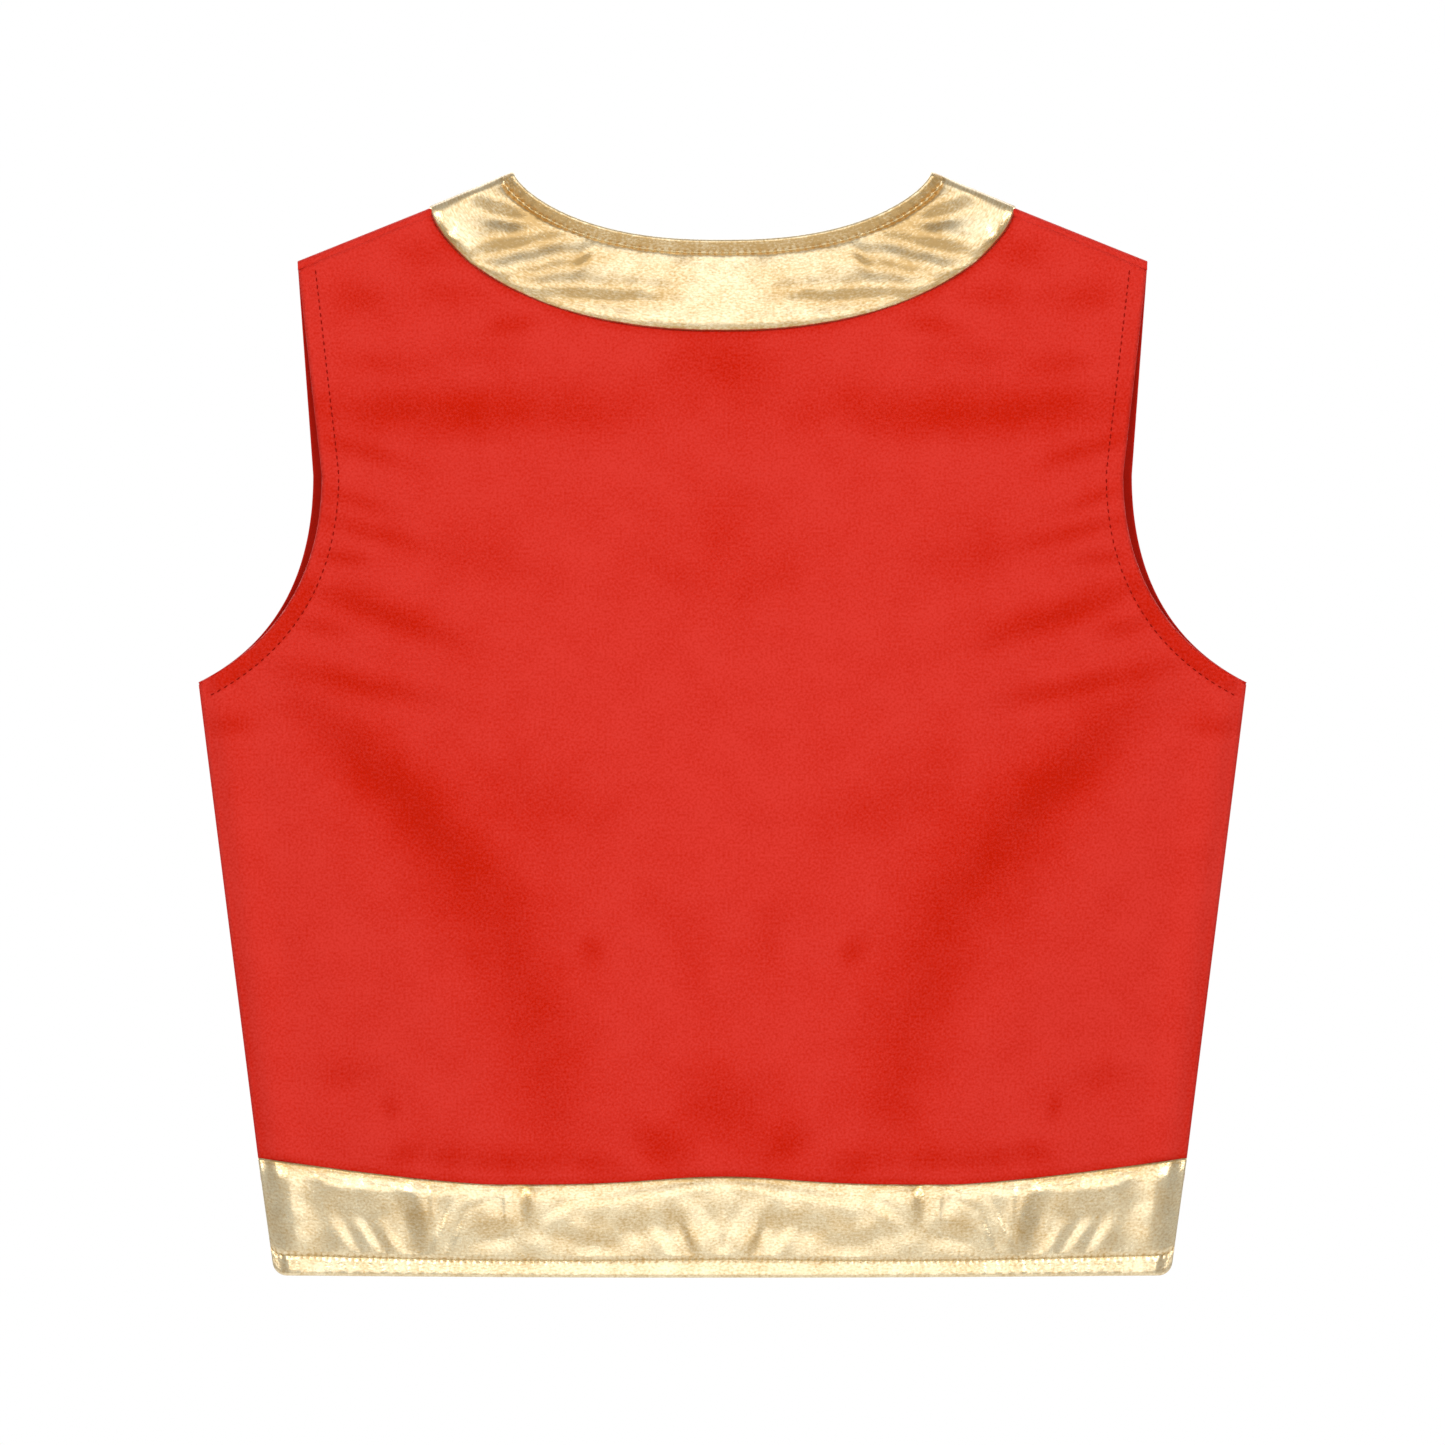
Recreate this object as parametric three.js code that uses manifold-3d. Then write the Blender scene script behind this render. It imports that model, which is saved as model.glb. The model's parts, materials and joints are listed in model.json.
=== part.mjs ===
// A child's cropped, sleeveless costume waistcoat in red satin, with folded gold bands round the neck, down
// both front edges and along the hem. It hangs from the shoulders, open at the front, with its layers a
// little apart.
//
// Frame: millimetres, +Z up. The origin is midway between the two points where the shoulder seams meet the
// neck. The wearer faces -Y, so the back panel is at +Y and the wearer's left side is at +X.
//
// Every cloth piece follows one of two surfaces that meet at the side and shoulder seams: the front, which
// hangs flat, and the back, which stands away from it. A place on a piece is [x, z] plus an offset outwards
// from the middle of the cloth.
// Each front opens along a straight fold from beside its neck point to the hem. Everything that crosses the
// fold is cut there: the part beside the side seam stays with the back and the part beside the opening swings.

import * as THREE from "three";
import { mergeVertices } from "three/addons/utils/BufferGeometryUtils.js";
import Module from "manifold-3d";

const wasm = await Module();
wasm.setup();

// Outline of the body
const bodyLength = 400; // neck point of the shoulder down to the fold of the hem
const neckWidth = 152;
const shoulderWidth = 308;
const shoulderDrop = 32.6; // neck point down to the shoulder tip
const chestWidth = 380; // between the two underarm points
const underarmDrop = 185.3;
const hemWidth = 326;
const hemCornerRadius = 5;
const backNeckDrop = 25;
const neckEdgeCurve = [2.4, 0.7]; // powers: flatness of the curve's middle, slope of its ends
const neckSeamCurve = [2.2, 0.62];
const armholeBend = 110; // neck point down to where the armhole turns out towards the underarm
const frontArmholeHollow = 5.7; // how far the armhole lies inside the shoulder tip there
const backArmholeHollow = 9;
const underarmSlope = 0.5; // fall of the armhole for each millimetre outwards at the underarm
const frontGap = 12; // between the two front edges
const frontVeeDrop = 157; // neck point down to where the slanting and upright front edges would meet
const frontVeeRadius = 100;

// Bands, hems and seams
const bandWidth = 33; // neck and front bands, from their seam to their folded edge
const hemBandHeight = 33.3; // hem band where its seam is lowest
const hemSeamRise = 9; // how far the hem band's seam rises from there to the side seam
const hemSeamLevel = 84; // from the centre to where that rise begins
const hemSeamPower = 1.3; // above 1, it begins gently
const hemSeamPeak = 3; // small rise of the back's seam at the centre
const hemSeamPeakWidth = 34;
const seamAllowance = 8;
const armholeHem = 6; // armhole edge to its topstitching
const facingWidth = 8;
const neckStitchInset = 4.7; // band's folded edge to its row of topstitching
const hemStitchInset = 5.8;
const threadDiameter = 0.5;
const threadEnd = 3; // how far short of a seam a band's row of topstitching stops
const armholeThreadEnd = 5; // the same for an armhole's row
const facingEnd = 3.5; // how far short of the side and shoulder seams a facing stops
const joiningSeamEnd = 1.4; // how far short of a band or a facing a joining seam stops

// Cloth and how far the layers stand apart
const satin = 0.6;
const foil = 0.5;
const clearance = 0.35; // between cloth layers that lie on each other
const sideGap = 0.91; // between the front's and the back's bands at the side seams
const backDepth = 30; // how far the back stands out at the hem
const backRise = 120; // length down over which it reaches most of that
const backSideRun = 150; // side seam to the full depth
const shoulderEasing = 12; // softens the turn from the shoulder into the back
const neckEasing = 20;

// The fold that each front opens on
const foldFromNeck = 3; // neck point to fold, towards the opening, level with the neck point
const foldFromSide = 40; // fold to side seam at the hem
const foldStandOff = 2.6; // hinge line in front of the middle of the cloth
const inwardSwing = (12 * Math.PI) / 180; // how far a front swings in towards the back

// How many steps each piece is divided into
const backPanelSteps = [40, 28]; // across, up
const frontPanelSteps = [12, 18];
const neckSteps = 28;
const hemSteps = 22;
const frontHemSteps = 10;
const frontEdgeSteps = [4, 5, 3]; // slanting, bent and upright stretches
const armholeSteps = 18;
const sideSeamSteps = 8;
const shoulderSeamSteps = 3;
const bandFlatSteps = 4; // each layer of a folded band, and then its fold
const bandFoldSteps = 4;
const threadSides = 6;

// Sizes that follow from those
const neckHalf = neckWidth / 2;
const tipHalf = shoulderWidth / 2;
const chestHalf = chestWidth / 2;
const hemHalf = hemWidth / 2;
const shoulderSlope = shoulderDrop / (tipHalf - neckHalf);
const bandInside = satin / 2 + clearance; // middle of the panel to the near face of a layer lying on it
const bandOutside = bandInside + foil;
const foldGap = (foldStandOff + bandOutside) * Math.sin(inwardSwing) + clearance; // open when swung in
const seamHalfGap = bandOutside + sideGap / 2; // middle of a panel to the plane of the side seams
const allowanceHalf = seamHalfGap - satin / 2 - clearance; // half the thickness of a joining seam
const onPanel = bandInside + threadDiameter / 2; // middle of the panel to the middle of a thread on it
const onBand = bandOutside + clearance + threadDiameter / 2;
const hemSeamLow = hemBandHeight - bodyLength;

const clamp01 = (q) => Math.min(1, Math.max(0, q));
const mix = (a, b, t) => a + (b - a) * t;
const mixPoints = (a, b, t) => [mix(a[0], b[0], t), mix(a[1], b[1], t)];
const evenly = (count, from = 0, to = 1) =>
  Array.from({ length: count + 1 }, (_, i) => mix(from, to, i / count));

// Rises from 0 to follow q, with the corner at 0 eased over a width.
const eased = (q, width) => (q + Math.hypot(q, width)) / 2;

// ---- outlines, as [x, z] on the wearer's left unless a share runs from -1 (right) to 1 (left) ----

const shoulderZ = (x) => -shoulderSlope * (Math.abs(x) - neckHalf);
const shoulderTip = [tipHalf, -shoulderDrop];

function sideX(z) {
  return mix(chestHalf, hemHalf, clamp01((-z - underarmDrop) / (bodyLength - underarmDrop)));
}

function hemSeamZ(face, x) {
  const rise = clamp01((Math.abs(x) - hemSeamLevel) / (sideX(hemSeamLow) - hemSeamLevel));
  const peak = face === "back" ? hemSeamPeak * Math.exp(-((x / hemSeamPeakWidth) ** 2)) : 0;
  return hemSeamLow + hemSeamRise * rise ** hemSeamPower + peak;
}
const hemSeamEnd = sideX(hemSeamLow + hemSeamRise);

// The hem's folded edge, rounded off at the side seam.
function hemFoldZ(x) {
  const past = Math.max(0, Math.abs(x) - (hemHalf - hemCornerRadius));
  return hemCornerRadius - bodyLength - Math.sqrt(Math.max(0, hemCornerRadius ** 2 - past ** 2));
}

// The armhole's edge, up from the underarm. Its upper stretch is straight.
function armholePath(hollow) {
  const bendX = tipHalf - hollow;
  const underarm = new THREE.Vector2(chestHalf, -underarmDrop);
  const turn = new THREE.Vector2(bendX, underarmSlope * (chestHalf - bendX) - underarmDrop);
  const bend = new THREE.Vector2(bendX, -armholeBend);
  const path = new THREE.CurvePath();
  path.add(new THREE.QuadraticBezierCurve(underarm, turn, bend));
  path.add(new THREE.LineCurve(bend, new THREE.Vector2(...shoulderTip)));
  return path;
}
const armholes = { front: armholePath(frontArmholeHollow), back: armholePath(backArmholeHollow) };

// A place on the armhole's edge or inset from it into the panel.
function armholePlace(face, share, inset) {
  const edge = armholes[face].getPoint(share);
  const along = armholes[face].getTangent(share);
  return [edge.x - along.y * inset, edge.y + along.x * inset];
}

// The outer edge of a panel: up the side seam, then from halfway round the armhole to the shoulder tip.
function panelSide(face, share, lowZ) {
  if (share > 0.5) return armholePlace(face, 2 * share - 1, 0);
  const z = mix(lowZ, -underarmDrop, 2 * share);
  return [sideX(z), z];
}

// The front edge, down from the neck point to the hem band.
const frontEdge = (() => {
  const neckPoint = new THREE.Vector2(neckHalf, 0);
  const vee = new THREE.Vector2(frontGap / 2, -frontVeeDrop);
  const slant = neckPoint.clone().sub(vee).normalize();
  const turn = Math.acos(slant.y);
  const tangent = frontVeeRadius * Math.tan(turn / 2);
  const slantEnd = vee.clone().addScaledVector(slant, tangent);
  const bendEnd = new THREE.Vector2(vee.x, vee.y - tangent);
  const hub = vee.x + frontVeeRadius;
  const path = new THREE.CurvePath();
  path.add(new THREE.LineCurve(neckPoint, slantEnd));
  path.add(
    new THREE.EllipseCurve(hub, bendEnd.y, frontVeeRadius, frontVeeRadius, Math.PI - turn, Math.PI, false),
  );
  path.add(new THREE.LineCurve(bendEnd, new THREE.Vector2(vee.x, hemSeamLow + clearance)));
  return path;
})();
const [slantLength, bendLength, edgeLength] = frontEdge.getCurveLengths();

// Places on a band for a share along it and a share across it, from its seam (0) to its folded edge (1).
function frontBandPlace(share, across) {
  const edge = frontEdge.getPoint(share);
  const along = frontEdge.getTangent(share);
  const seam = share === 0 ? neckBandCorner : [edge.x - along.y * bandWidth, edge.y + along.x * bandWidth];
  return mixPoints(seam, edge.toArray(), across);
}

// Where the band's seam meets the shoulder seam, square to the front edge.
const neckBandCorner = (() => {
  const slant = frontEdge.getTangent(0);
  const x = neckHalf - slant.y * bandWidth;
  return [x, shoulderZ(x)];
})();

function neckBandPlace(share, across) {
  const hollow = ([flatness, slope]) => (1 - Math.abs(share) ** flatness) ** slope;
  const edge = [neckHalf * share, -backNeckDrop * hollow(neckEdgeCurve)];
  const [cornerX, cornerZ] = neckBandCorner;
  const low = -backNeckDrop - bandWidth;
  const seam = [cornerX * share, mix(cornerZ, low, hollow(neckSeamCurve))];
  return mixPoints(seam, edge, across);
}

const hemBandPlace = (face, fromX) => (share, across) => {
  const seamX = mix(fromX, hemSeamEnd, share);
  const foldX = mix(fromX, hemHalf, share);
  return mixPoints([seamX, hemSeamZ(face, seamX)], [foldX, hemFoldZ(foldX)], across);
};
const backHemPlace = (share, across) => {
  const [x, z] = hemBandPlace("back", 0)(Math.abs(share), across);
  return [Math.sign(share) * x, z];
};
const frontHemPlace = hemBandPlace("front", frontGap / 2);

// A place inside four edges, each a function of its share, blended between them.
function patch(u, v, low, top, start, end) {
  const across = mixPoints(start(v), end(v), u);
  const upwards = mixPoints(low(u), top(u), v);
  const corners = mixPoints(mixPoints(start(0), end(0), u), mixPoints(start(1), end(1), u), v);
  return [0, 1].map((k) => across[k] + upwards[k] - corners[k]);
}

// ---- surfaces ----

function surfaceY(face, x, z) {
  if (face === "front") return -seamHalfGap;
  const slope = shoulderSlope * eased(Math.abs(x) - neckHalf, neckEasing);
  const down = eased(-z - slope, shoulderEasing);
  const fromSide = clamp01((sideX(z) - Math.abs(x)) / backSideRun);
  return seamHalfGap + backDepth * (1 - Math.exp(-down / backRise)) * Math.sin((Math.PI / 2) * fromSide);
}

function onSurface(face, [x, z], offset) {
  return new THREE.Vector3(x, surfaceY(face, x, z) + (face === "front" ? -offset : offset), z);
}

// ---- solids ----

// A closed bent slab between two grids of points, its two faces.
function slab(rows, columns, faceA, faceB) {
  const points = [];
  const row = (face, i) => Array.from({ length: columns + 1 }, (_, j) => points.push(face(i, j)) - 1);
  const grid = (face) => Array.from({ length: rows + 1 }, (_, i) => row(face, i));
  const a = grid(faceA);
  const b = grid(faceB);
  const triangles = [];
  const quad = (p, q, r, s) => triangles.push(p, q, r, p, r, s);
  for (let i = 0; i < rows; i++) {
    for (let j = 0; j < columns; j++) {
      quad(a[i][j], a[i + 1][j], a[i + 1][j + 1], a[i][j + 1]);
      quad(b[i][j], b[i][j + 1], b[i + 1][j + 1], b[i + 1][j]);
    }
    quad(a[i][0], b[i][0], b[i + 1][0], a[i + 1][0]);
    quad(a[i][columns], a[i + 1][columns], b[i + 1][columns], b[i][columns]);
  }
  for (let j = 0; j < columns; j++) {
    quad(a[0][j], a[0][j + 1], b[0][j + 1], b[0][j]);
    quad(a[rows][j], b[rows][j], b[rows][j + 1], a[rows][j + 1]);
  }
  const geometry = new THREE.BufferGeometry().setFromPoints(points);
  geometry.setIndex(triangles);
  return signedVolume(geometry) < 0 ? turnedOver(geometry) : geometry;
}

function signedVolume(geometry) {
  const position = geometry.getAttribute("position");
  const index = geometry.index.array;
  let sum = 0;
  for (let i = 0; i < index.length; i += 3) {
    const [a, b, c] = [0, 1, 2].map((k) => new THREE.Vector3().fromBufferAttribute(position, index[i + k]));
    sum += a.dot(b.cross(c)) / 6;
  }
  return sum;
}

function turnedOver(geometry) {
  const index = Array.from(geometry.index.array);
  for (let i = 0; i < index.length; i += 3) [index[i + 1], index[i + 2]] = [index[i + 2], index[i + 1]];
  geometry.setIndex(index);
  return geometry;
}

// One layer of cloth between two offsets from the middle of its surface.
function layer(face, rows, columns, place, near, far) {
  const side = (offset) => (i, j) => onSurface(face, place(i / rows, j / columns), offset);
  return slab(rows, columns, side(far), side(near));
}

// A band folded in two along its free edge and open at its seam, where it takes in the edge of a panel.
function foldedBand(face, shares, place, width) {
  const flat = width - bandOutside;
  const flatPlaces = evenly(bandFlatSteps, 0, flat).slice(0, -1);
  const foldAngles = evenly(bandFoldSteps, 0, Math.PI);
  const section = [
    ...flatPlaces.map((across) => [across, 1, 0]),
    ...foldAngles.map((angle) => [flat, Math.cos(angle), Math.sin(angle)]),
    ...flatPlaces.reverse().map((across) => [across, -1, 0]),
  ];
  const side = (radius) => (i, j) => {
    const [across, out, forward] = section[j];
    return onSurface(face, place(shares[i], (across + forward * radius) / width), out * radius);
  };
  return slab(shares.length - 1, section.length - 1, side(bandOutside), side(bandInside));
}

// A row of topstitching as one thin thread through places on a surface.
function threadRow(face, places, offset) {
  const round = new THREE.EllipseCurve(0, 0, threadDiameter / 2, threadDiameter / 2);
  const path = new THREE.CatmullRomCurve3(places.map((place) => onSurface(face, place, offset)));
  return new THREE.ExtrudeGeometry(new THREE.Shape(round.getPoints(threadSides).slice(0, -1)), {
    extrudePath: path,
    steps: places.length - 1,
    bevelEnabled: false,
  });
}

// The edges of two panels overlocked together into one strip on the inside of a joining seam.
function joiningSeam(place, steps) {
  const side = (y) => (i, j) => {
    const [x, z] = place(i / steps, j * seamAllowance);
    return new THREE.Vector3(x, y, z);
  };
  return slab(steps, 1, side(-allowanceHalf), side(allowanceHalf));
}

// ---- the cut along the fold of the left front ----

function toSolid(geometry) {
  return new wasm.Manifold(
    new wasm.Mesh({
      numProp: 3,
      vertProperties: new Float32Array(geometry.getAttribute("position").array),
      triVerts: new Uint32Array(geometry.index.array),
    }),
  );
}

function toGeometry(solid) {
  const mesh = solid.getMesh();
  const geometry = new THREE.BufferGeometry();
  geometry.setAttribute("position", new THREE.BufferAttribute(new Float32Array(mesh.vertProperties), 3));
  geometry.setIndex(Array.from(mesh.triVerts));
  return geometry;
}

// The shape alone, with shared vertices merged.
function bare(geometry) {
  const copy = geometry.clone();
  copy.deleteAttribute("normal");
  copy.deleteAttribute("uv");
  return mergeVertices(copy, 1e-4);
}

// A block over everything on one side of the fold: 1 towards the side seam, -1 towards the front edge.
function foldBlock(towards) {
  const size = 2 * bodyLength;
  const topX = neckHalf - foldFromNeck;
  const footX = hemHalf - foldFromSide;
  const lean = Math.atan((footX - topX) / bodyLength);
  const block = bare(new THREE.BoxGeometry(size, size, size));
  block.translate((towards * (size + foldGap)) / 2, 0, 0);
  block.rotateY(-lean);
  block.translate((topX + footX) / 2, 0, -bodyLength / 2);
  return toSolid(block);
}
const sideBlock = foldBlock(1);
const openingBlock = foldBlock(-1);

// ---- assembly ----

const satinRed = new THREE.MeshStandardMaterial({ color: 0xd2251b, roughness: 0.45, metalness: 0 });
const foilGold = new THREE.MeshStandardMaterial({ color: 0xd9bf7d, roughness: 0.3, metalness: 0.9 });
const threadRed = new THREE.MeshStandardMaterial({ color: 0xb51a12, roughness: 0.6, metalness: 0 });
const threadGold = new THREE.MeshStandardMaterial({ color: 0xc9a860, roughness: 0.55, metalness: 0 });

const vest = new THREE.Group();

function add(name, geometry, material) {
  const mesh = new THREE.Mesh(geometry, material);
  mesh.name = name;
  vest.add(mesh);
}

// A piece on the wearer's left and its mirror image on the right.
function addPair(name, geometry, material) {
  const left = bare(geometry);
  add(`left_${name}`, left, material);
  add(`right_${name}`, turnedOver(left.clone().scale(-1, 1, 1)), material);
}

function addCutPair(name, stayingName, geometry, material) {
  const whole = toSolid(bare(geometry));
  addPair(name, toGeometry(whole.intersect(openingBlock)), material);
  addPair(stayingName, toGeometry(whole.intersect(sideBlock)), material);
}

function addBackPanel() {
  const inBand = seamAllowance / bandWidth;
  const corner = neckBandPlace(1, inBand);
  const shoulderShare = 0.3; // of each half of the top edge
  const lowZ = hemSeamZ("back", hemSeamEnd) - seamAllowance;
  const topLeft = (s) =>
    s > 1 - shoulderShare
      ? mixPoints(corner, shoulderTip, (s - 1 + shoulderShare) / shoulderShare)
      : neckBandPlace(s / (1 - shoulderShare), inBand);
  const top = (u) => {
    const [x, z] = topLeft(Math.abs(2 * u - 1));
    return [Math.sign(2 * u - 1) * x, z];
  };
  const low = (u) => {
    const x = (2 * u - 1) * sideX(lowZ);
    return [x, hemSeamZ("back", Math.min(Math.abs(x), hemSeamEnd)) - seamAllowance];
  };
  const left = (v) => panelSide("back", v, lowZ);
  const right = (v) => {
    const [x, z] = left(v);
    return [-x, z];
  };
  const place = (u, v) => patch(u, v, low, top, right, left);
  const [across, up] = backPanelSteps;
  add("back_panel", layer("back", across, up, place, -satin / 2, satin / 2), satinRed);
}

function addBackBands() {
  const neckShares = evenly(neckSteps, -1, 1);
  add("back_neck_band", foldedBand("back", neckShares, neckBandPlace, bandWidth), foilGold);
  const hemShares = evenly(hemSteps, -1, 1);
  add("back_hem_band", foldedBand("back", hemShares, backHemPlace, hemBandHeight), foilGold);
  const neckEnd = 1 - threadEnd / neckHalf;
  const neckAcross = 1 - neckStitchInset / bandWidth;
  const neckRow = evenly(neckSteps, -neckEnd, neckEnd).map((share) => neckBandPlace(share, neckAcross));
  add("back_neck_topstitch", bare(threadRow("back", neckRow, onBand)), threadGold);
  const hemEnd = 1 - threadEnd / hemHalf;
  const hemAcross = 1 - hemStitchInset / hemBandHeight;
  const hemRow = evenly(hemSteps, -hemEnd, hemEnd).map((share) => backHemPlace(share, hemAcross));
  add("back_hem_topstitch", bare(threadRow("back", hemRow, onBand)), threadGold);
}

function addFrontPanels() {
  const inBand = seamAllowance / bandWidth;
  const lowZ = hemSeamZ("front", hemSeamEnd) - seamAllowance;
  const innerLength = edgeLength + clearance + seamAllowance;
  const inner = (v) => {
    const down = (1 - v) * innerLength;
    const [x, z] = frontBandPlace(Math.min(1, down / edgeLength), inBand);
    return [x, z - Math.max(0, down - edgeLength)];
  };
  const low = (u) => {
    const x = mix(sideX(lowZ), inner(0)[0], u);
    return [x, hemSeamZ("front", Math.min(x, hemSeamEnd)) - seamAllowance];
  };
  const top = (u) => mixPoints(shoulderTip, inner(1), u);
  const outer = (v) => panelSide("front", v, lowZ);
  const place = (u, v) => patch(u, v, low, top, outer, inner);
  const [across, up] = frontPanelSteps;
  const panel = layer("front", across, up, place, -satin / 2, satin / 2);
  addCutPair("front_panel", "front_side_panel", panel, satinRed);
}

function addFrontBands() {
  const slantEnd = slantLength / edgeLength;
  const bendEnd = bendLength / edgeLength;
  const stretches = [[0, slantEnd], [slantEnd, bendEnd], [bendEnd, 1]];
  const shares = stretches.flatMap(([from, to], i) => evenly(frontEdgeSteps[i], from, to));
  const edgeShares = [...new Set(shares)];
  const edge = foldedBand("front", edgeShares, frontBandPlace, bandWidth);
  addCutPair("front_band", "front_band_top", edge, foilGold);
  const hem = foldedBand("front", evenly(frontHemSteps), frontHemPlace, hemBandHeight);
  addCutPair("front_hem_band", "front_hem_band_side", hem, foilGold);
  const edgeEnd = threadEnd / edgeLength;
  const edgeAcross = 1 - neckStitchInset / bandWidth;
  const edgeRow = edgeShares.map((s) => frontBandPlace(mix(edgeEnd, 1 - edgeEnd, s), edgeAcross));
  const edgeThread = threadRow("front", edgeRow, onBand);
  addCutPair("front_edge_topstitch", "front_edge_topstitch_top", edgeThread, threadGold);
  const hemEnd = threadEnd / hemHalf;
  const hemAcross = 1 - hemStitchInset / hemBandHeight;
  const hemRow = evenly(frontHemSteps, hemEnd, 1 - hemEnd).map((share) => frontHemPlace(share, hemAcross));
  const hemThread = threadRow("front", hemRow, onBand);
  addCutPair("front_hem_topstitch", "front_hem_topstitch_side", hemThread, threadGold);
}

function addArmholes(face) {
  const edgeRun = armholes[face].getLength();
  const stop = facingEnd / edgeRun;
  const facing = (share, across) =>
    armholePlace(face, mix(stop, 1 - stop, share), mix(clearance, facingWidth, across));
  const turnedEdge = layer(face, armholeSteps, 2, facing, -bandOutside, -bandInside);
  addPair(`${face}_armhole_facing`, turnedEdge, satinRed);
  const threadStop = armholeThreadEnd / edgeRun;
  const shares = evenly(armholeSteps, threadStop, 1 - threadStop);
  const row = shares.map((share) => armholePlace(face, share, armholeHem));
  addPair(`${face}_armhole_topstitch`, threadRow(face, row, onPanel), threadRed);
}

function addJoiningSeams() {
  const sideTop = -underarmDrop - 2 * facingWidth;
  const sideFoot = hemSeamLow + hemSeamRise + clearance;
  const side = (share, across) => {
    const z = mix(sideTop, sideFoot, share);
    return [sideX(z) - across, z];
  };
  addPair("side_seam", joiningSeam(side, sideSeamSteps), satinRed);
  const start = neckBandCorner[0] + joiningSeamEnd;
  const end = tipHalf - facingWidth - joiningSeamEnd;
  const shoulder = (share, across) => {
    const x = mix(start, end, share);
    return [x, shoulderZ(x) - across];
  };
  addPair("shoulder_seam", joiningSeam(shoulder, shoulderSeamSteps), satinRed);
}

addBackPanel();
addBackBands();
addFrontPanels();
addFrontBands();
addArmholes("back");
addArmholes("front");
addJoiningSeams();

export default vest;
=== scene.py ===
import json
import math
import bpy
import numpy as np
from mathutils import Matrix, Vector


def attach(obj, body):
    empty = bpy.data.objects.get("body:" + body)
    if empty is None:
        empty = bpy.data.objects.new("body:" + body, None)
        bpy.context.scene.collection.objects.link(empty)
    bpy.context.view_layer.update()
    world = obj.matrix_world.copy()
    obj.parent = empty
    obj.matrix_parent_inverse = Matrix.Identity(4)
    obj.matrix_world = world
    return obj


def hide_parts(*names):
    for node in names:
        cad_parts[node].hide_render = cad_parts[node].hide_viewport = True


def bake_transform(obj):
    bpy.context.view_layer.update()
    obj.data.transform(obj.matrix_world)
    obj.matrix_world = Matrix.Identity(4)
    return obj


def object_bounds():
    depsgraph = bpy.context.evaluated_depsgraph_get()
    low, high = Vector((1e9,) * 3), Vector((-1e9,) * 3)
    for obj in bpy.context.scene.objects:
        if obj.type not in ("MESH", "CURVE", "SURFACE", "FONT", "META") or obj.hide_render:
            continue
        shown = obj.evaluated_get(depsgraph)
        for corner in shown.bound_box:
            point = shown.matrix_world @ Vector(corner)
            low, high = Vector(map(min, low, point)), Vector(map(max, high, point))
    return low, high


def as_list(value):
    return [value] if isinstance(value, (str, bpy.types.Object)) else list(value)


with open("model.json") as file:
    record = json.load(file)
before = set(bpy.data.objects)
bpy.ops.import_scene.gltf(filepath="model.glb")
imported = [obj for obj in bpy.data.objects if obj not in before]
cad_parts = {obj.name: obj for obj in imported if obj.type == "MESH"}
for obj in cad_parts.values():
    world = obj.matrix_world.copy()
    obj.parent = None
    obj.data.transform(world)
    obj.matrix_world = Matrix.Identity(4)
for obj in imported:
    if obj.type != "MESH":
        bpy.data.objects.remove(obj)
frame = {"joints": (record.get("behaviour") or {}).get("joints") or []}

cadBox = [list(corner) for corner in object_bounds()]
print("frame loaded, CAD box in metres:", cadBox)

# The wearer faces -Y, their left is +X and +Z is up. Shapes are worked out in millimetres and turned into
# metres as each mesh is made. Every cloth piece is a place (x, z) on the front or the back plus a height
# off that surface.
mm = 0.001
leftHinge = next(j for j in frame["joints"] if j["name"] == "left_front_opens")

outline = {
    "length": -cadBox[0][2] / mm,
    "chestHalf": cadBox[1][0] / mm,
    "neckHalf": 76.0,
    "tipHalf": 154.0,
    "shoulderDrop": 32.6,
    "underarmDrop": 185.3,
    "hemHalf": 163.0,
    "hemCorner": 5.0,
    "neckDrop": 25.0,
    "armholeBend": 110.0,
    "armholeHollow": {"front": 5.7, "back": 9.0},
    "frontGap": 12.0,
    "veeDrop": 157.0,
    "veeRadius": 100.0,
    "bandWidth": 33.0,
    "hemBand": 33.3,
    "hemSeamRise": 9.0,
    "hemSeamLevel": 84.0,  # the seam is level out to here, and rises to the side past it
    "hemSeamPeak": 3.0,
    "hemSeamPeakWide": 34.0,
}
depths = {
    "seamHalfGap": 1.6,  # each side's cloth from the plane of the side seams
    "backDepth": 30.0,
    "backRise": 120.0,
    "backSideRun": 150.0,
    "sideMeet": 7.0,  # the two sides close up on each other over this width
    "meetHalfGap": 0.28,
    "meetStart": 12.0,  # the closing up begins this far above the underarm
    "meetRun": 14.0,
    "neckEase": 20.0,  # how widely the slope of the shoulder starts beside the neck
    "shoulderEase": 12.0,  # how widely the shoulder turns down into the back
}
roll = {"back": 1.3, "front": 0.5, "fromSide": 9.0, "wide": 6.0, "start": 5.0, "run": 30.0}
neckHalf, chestHalf, tipHalf = outline["neckHalf"], outline["chestHalf"], outline["tipHalf"]
length, bandWidth, hemBand = outline["length"], outline["bandWidth"], outline["hemBand"]
shoulderSlope = outline["shoulderDrop"] / (tipHalf - neckHalf)
hemSeamLow = hemBand - length

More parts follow.
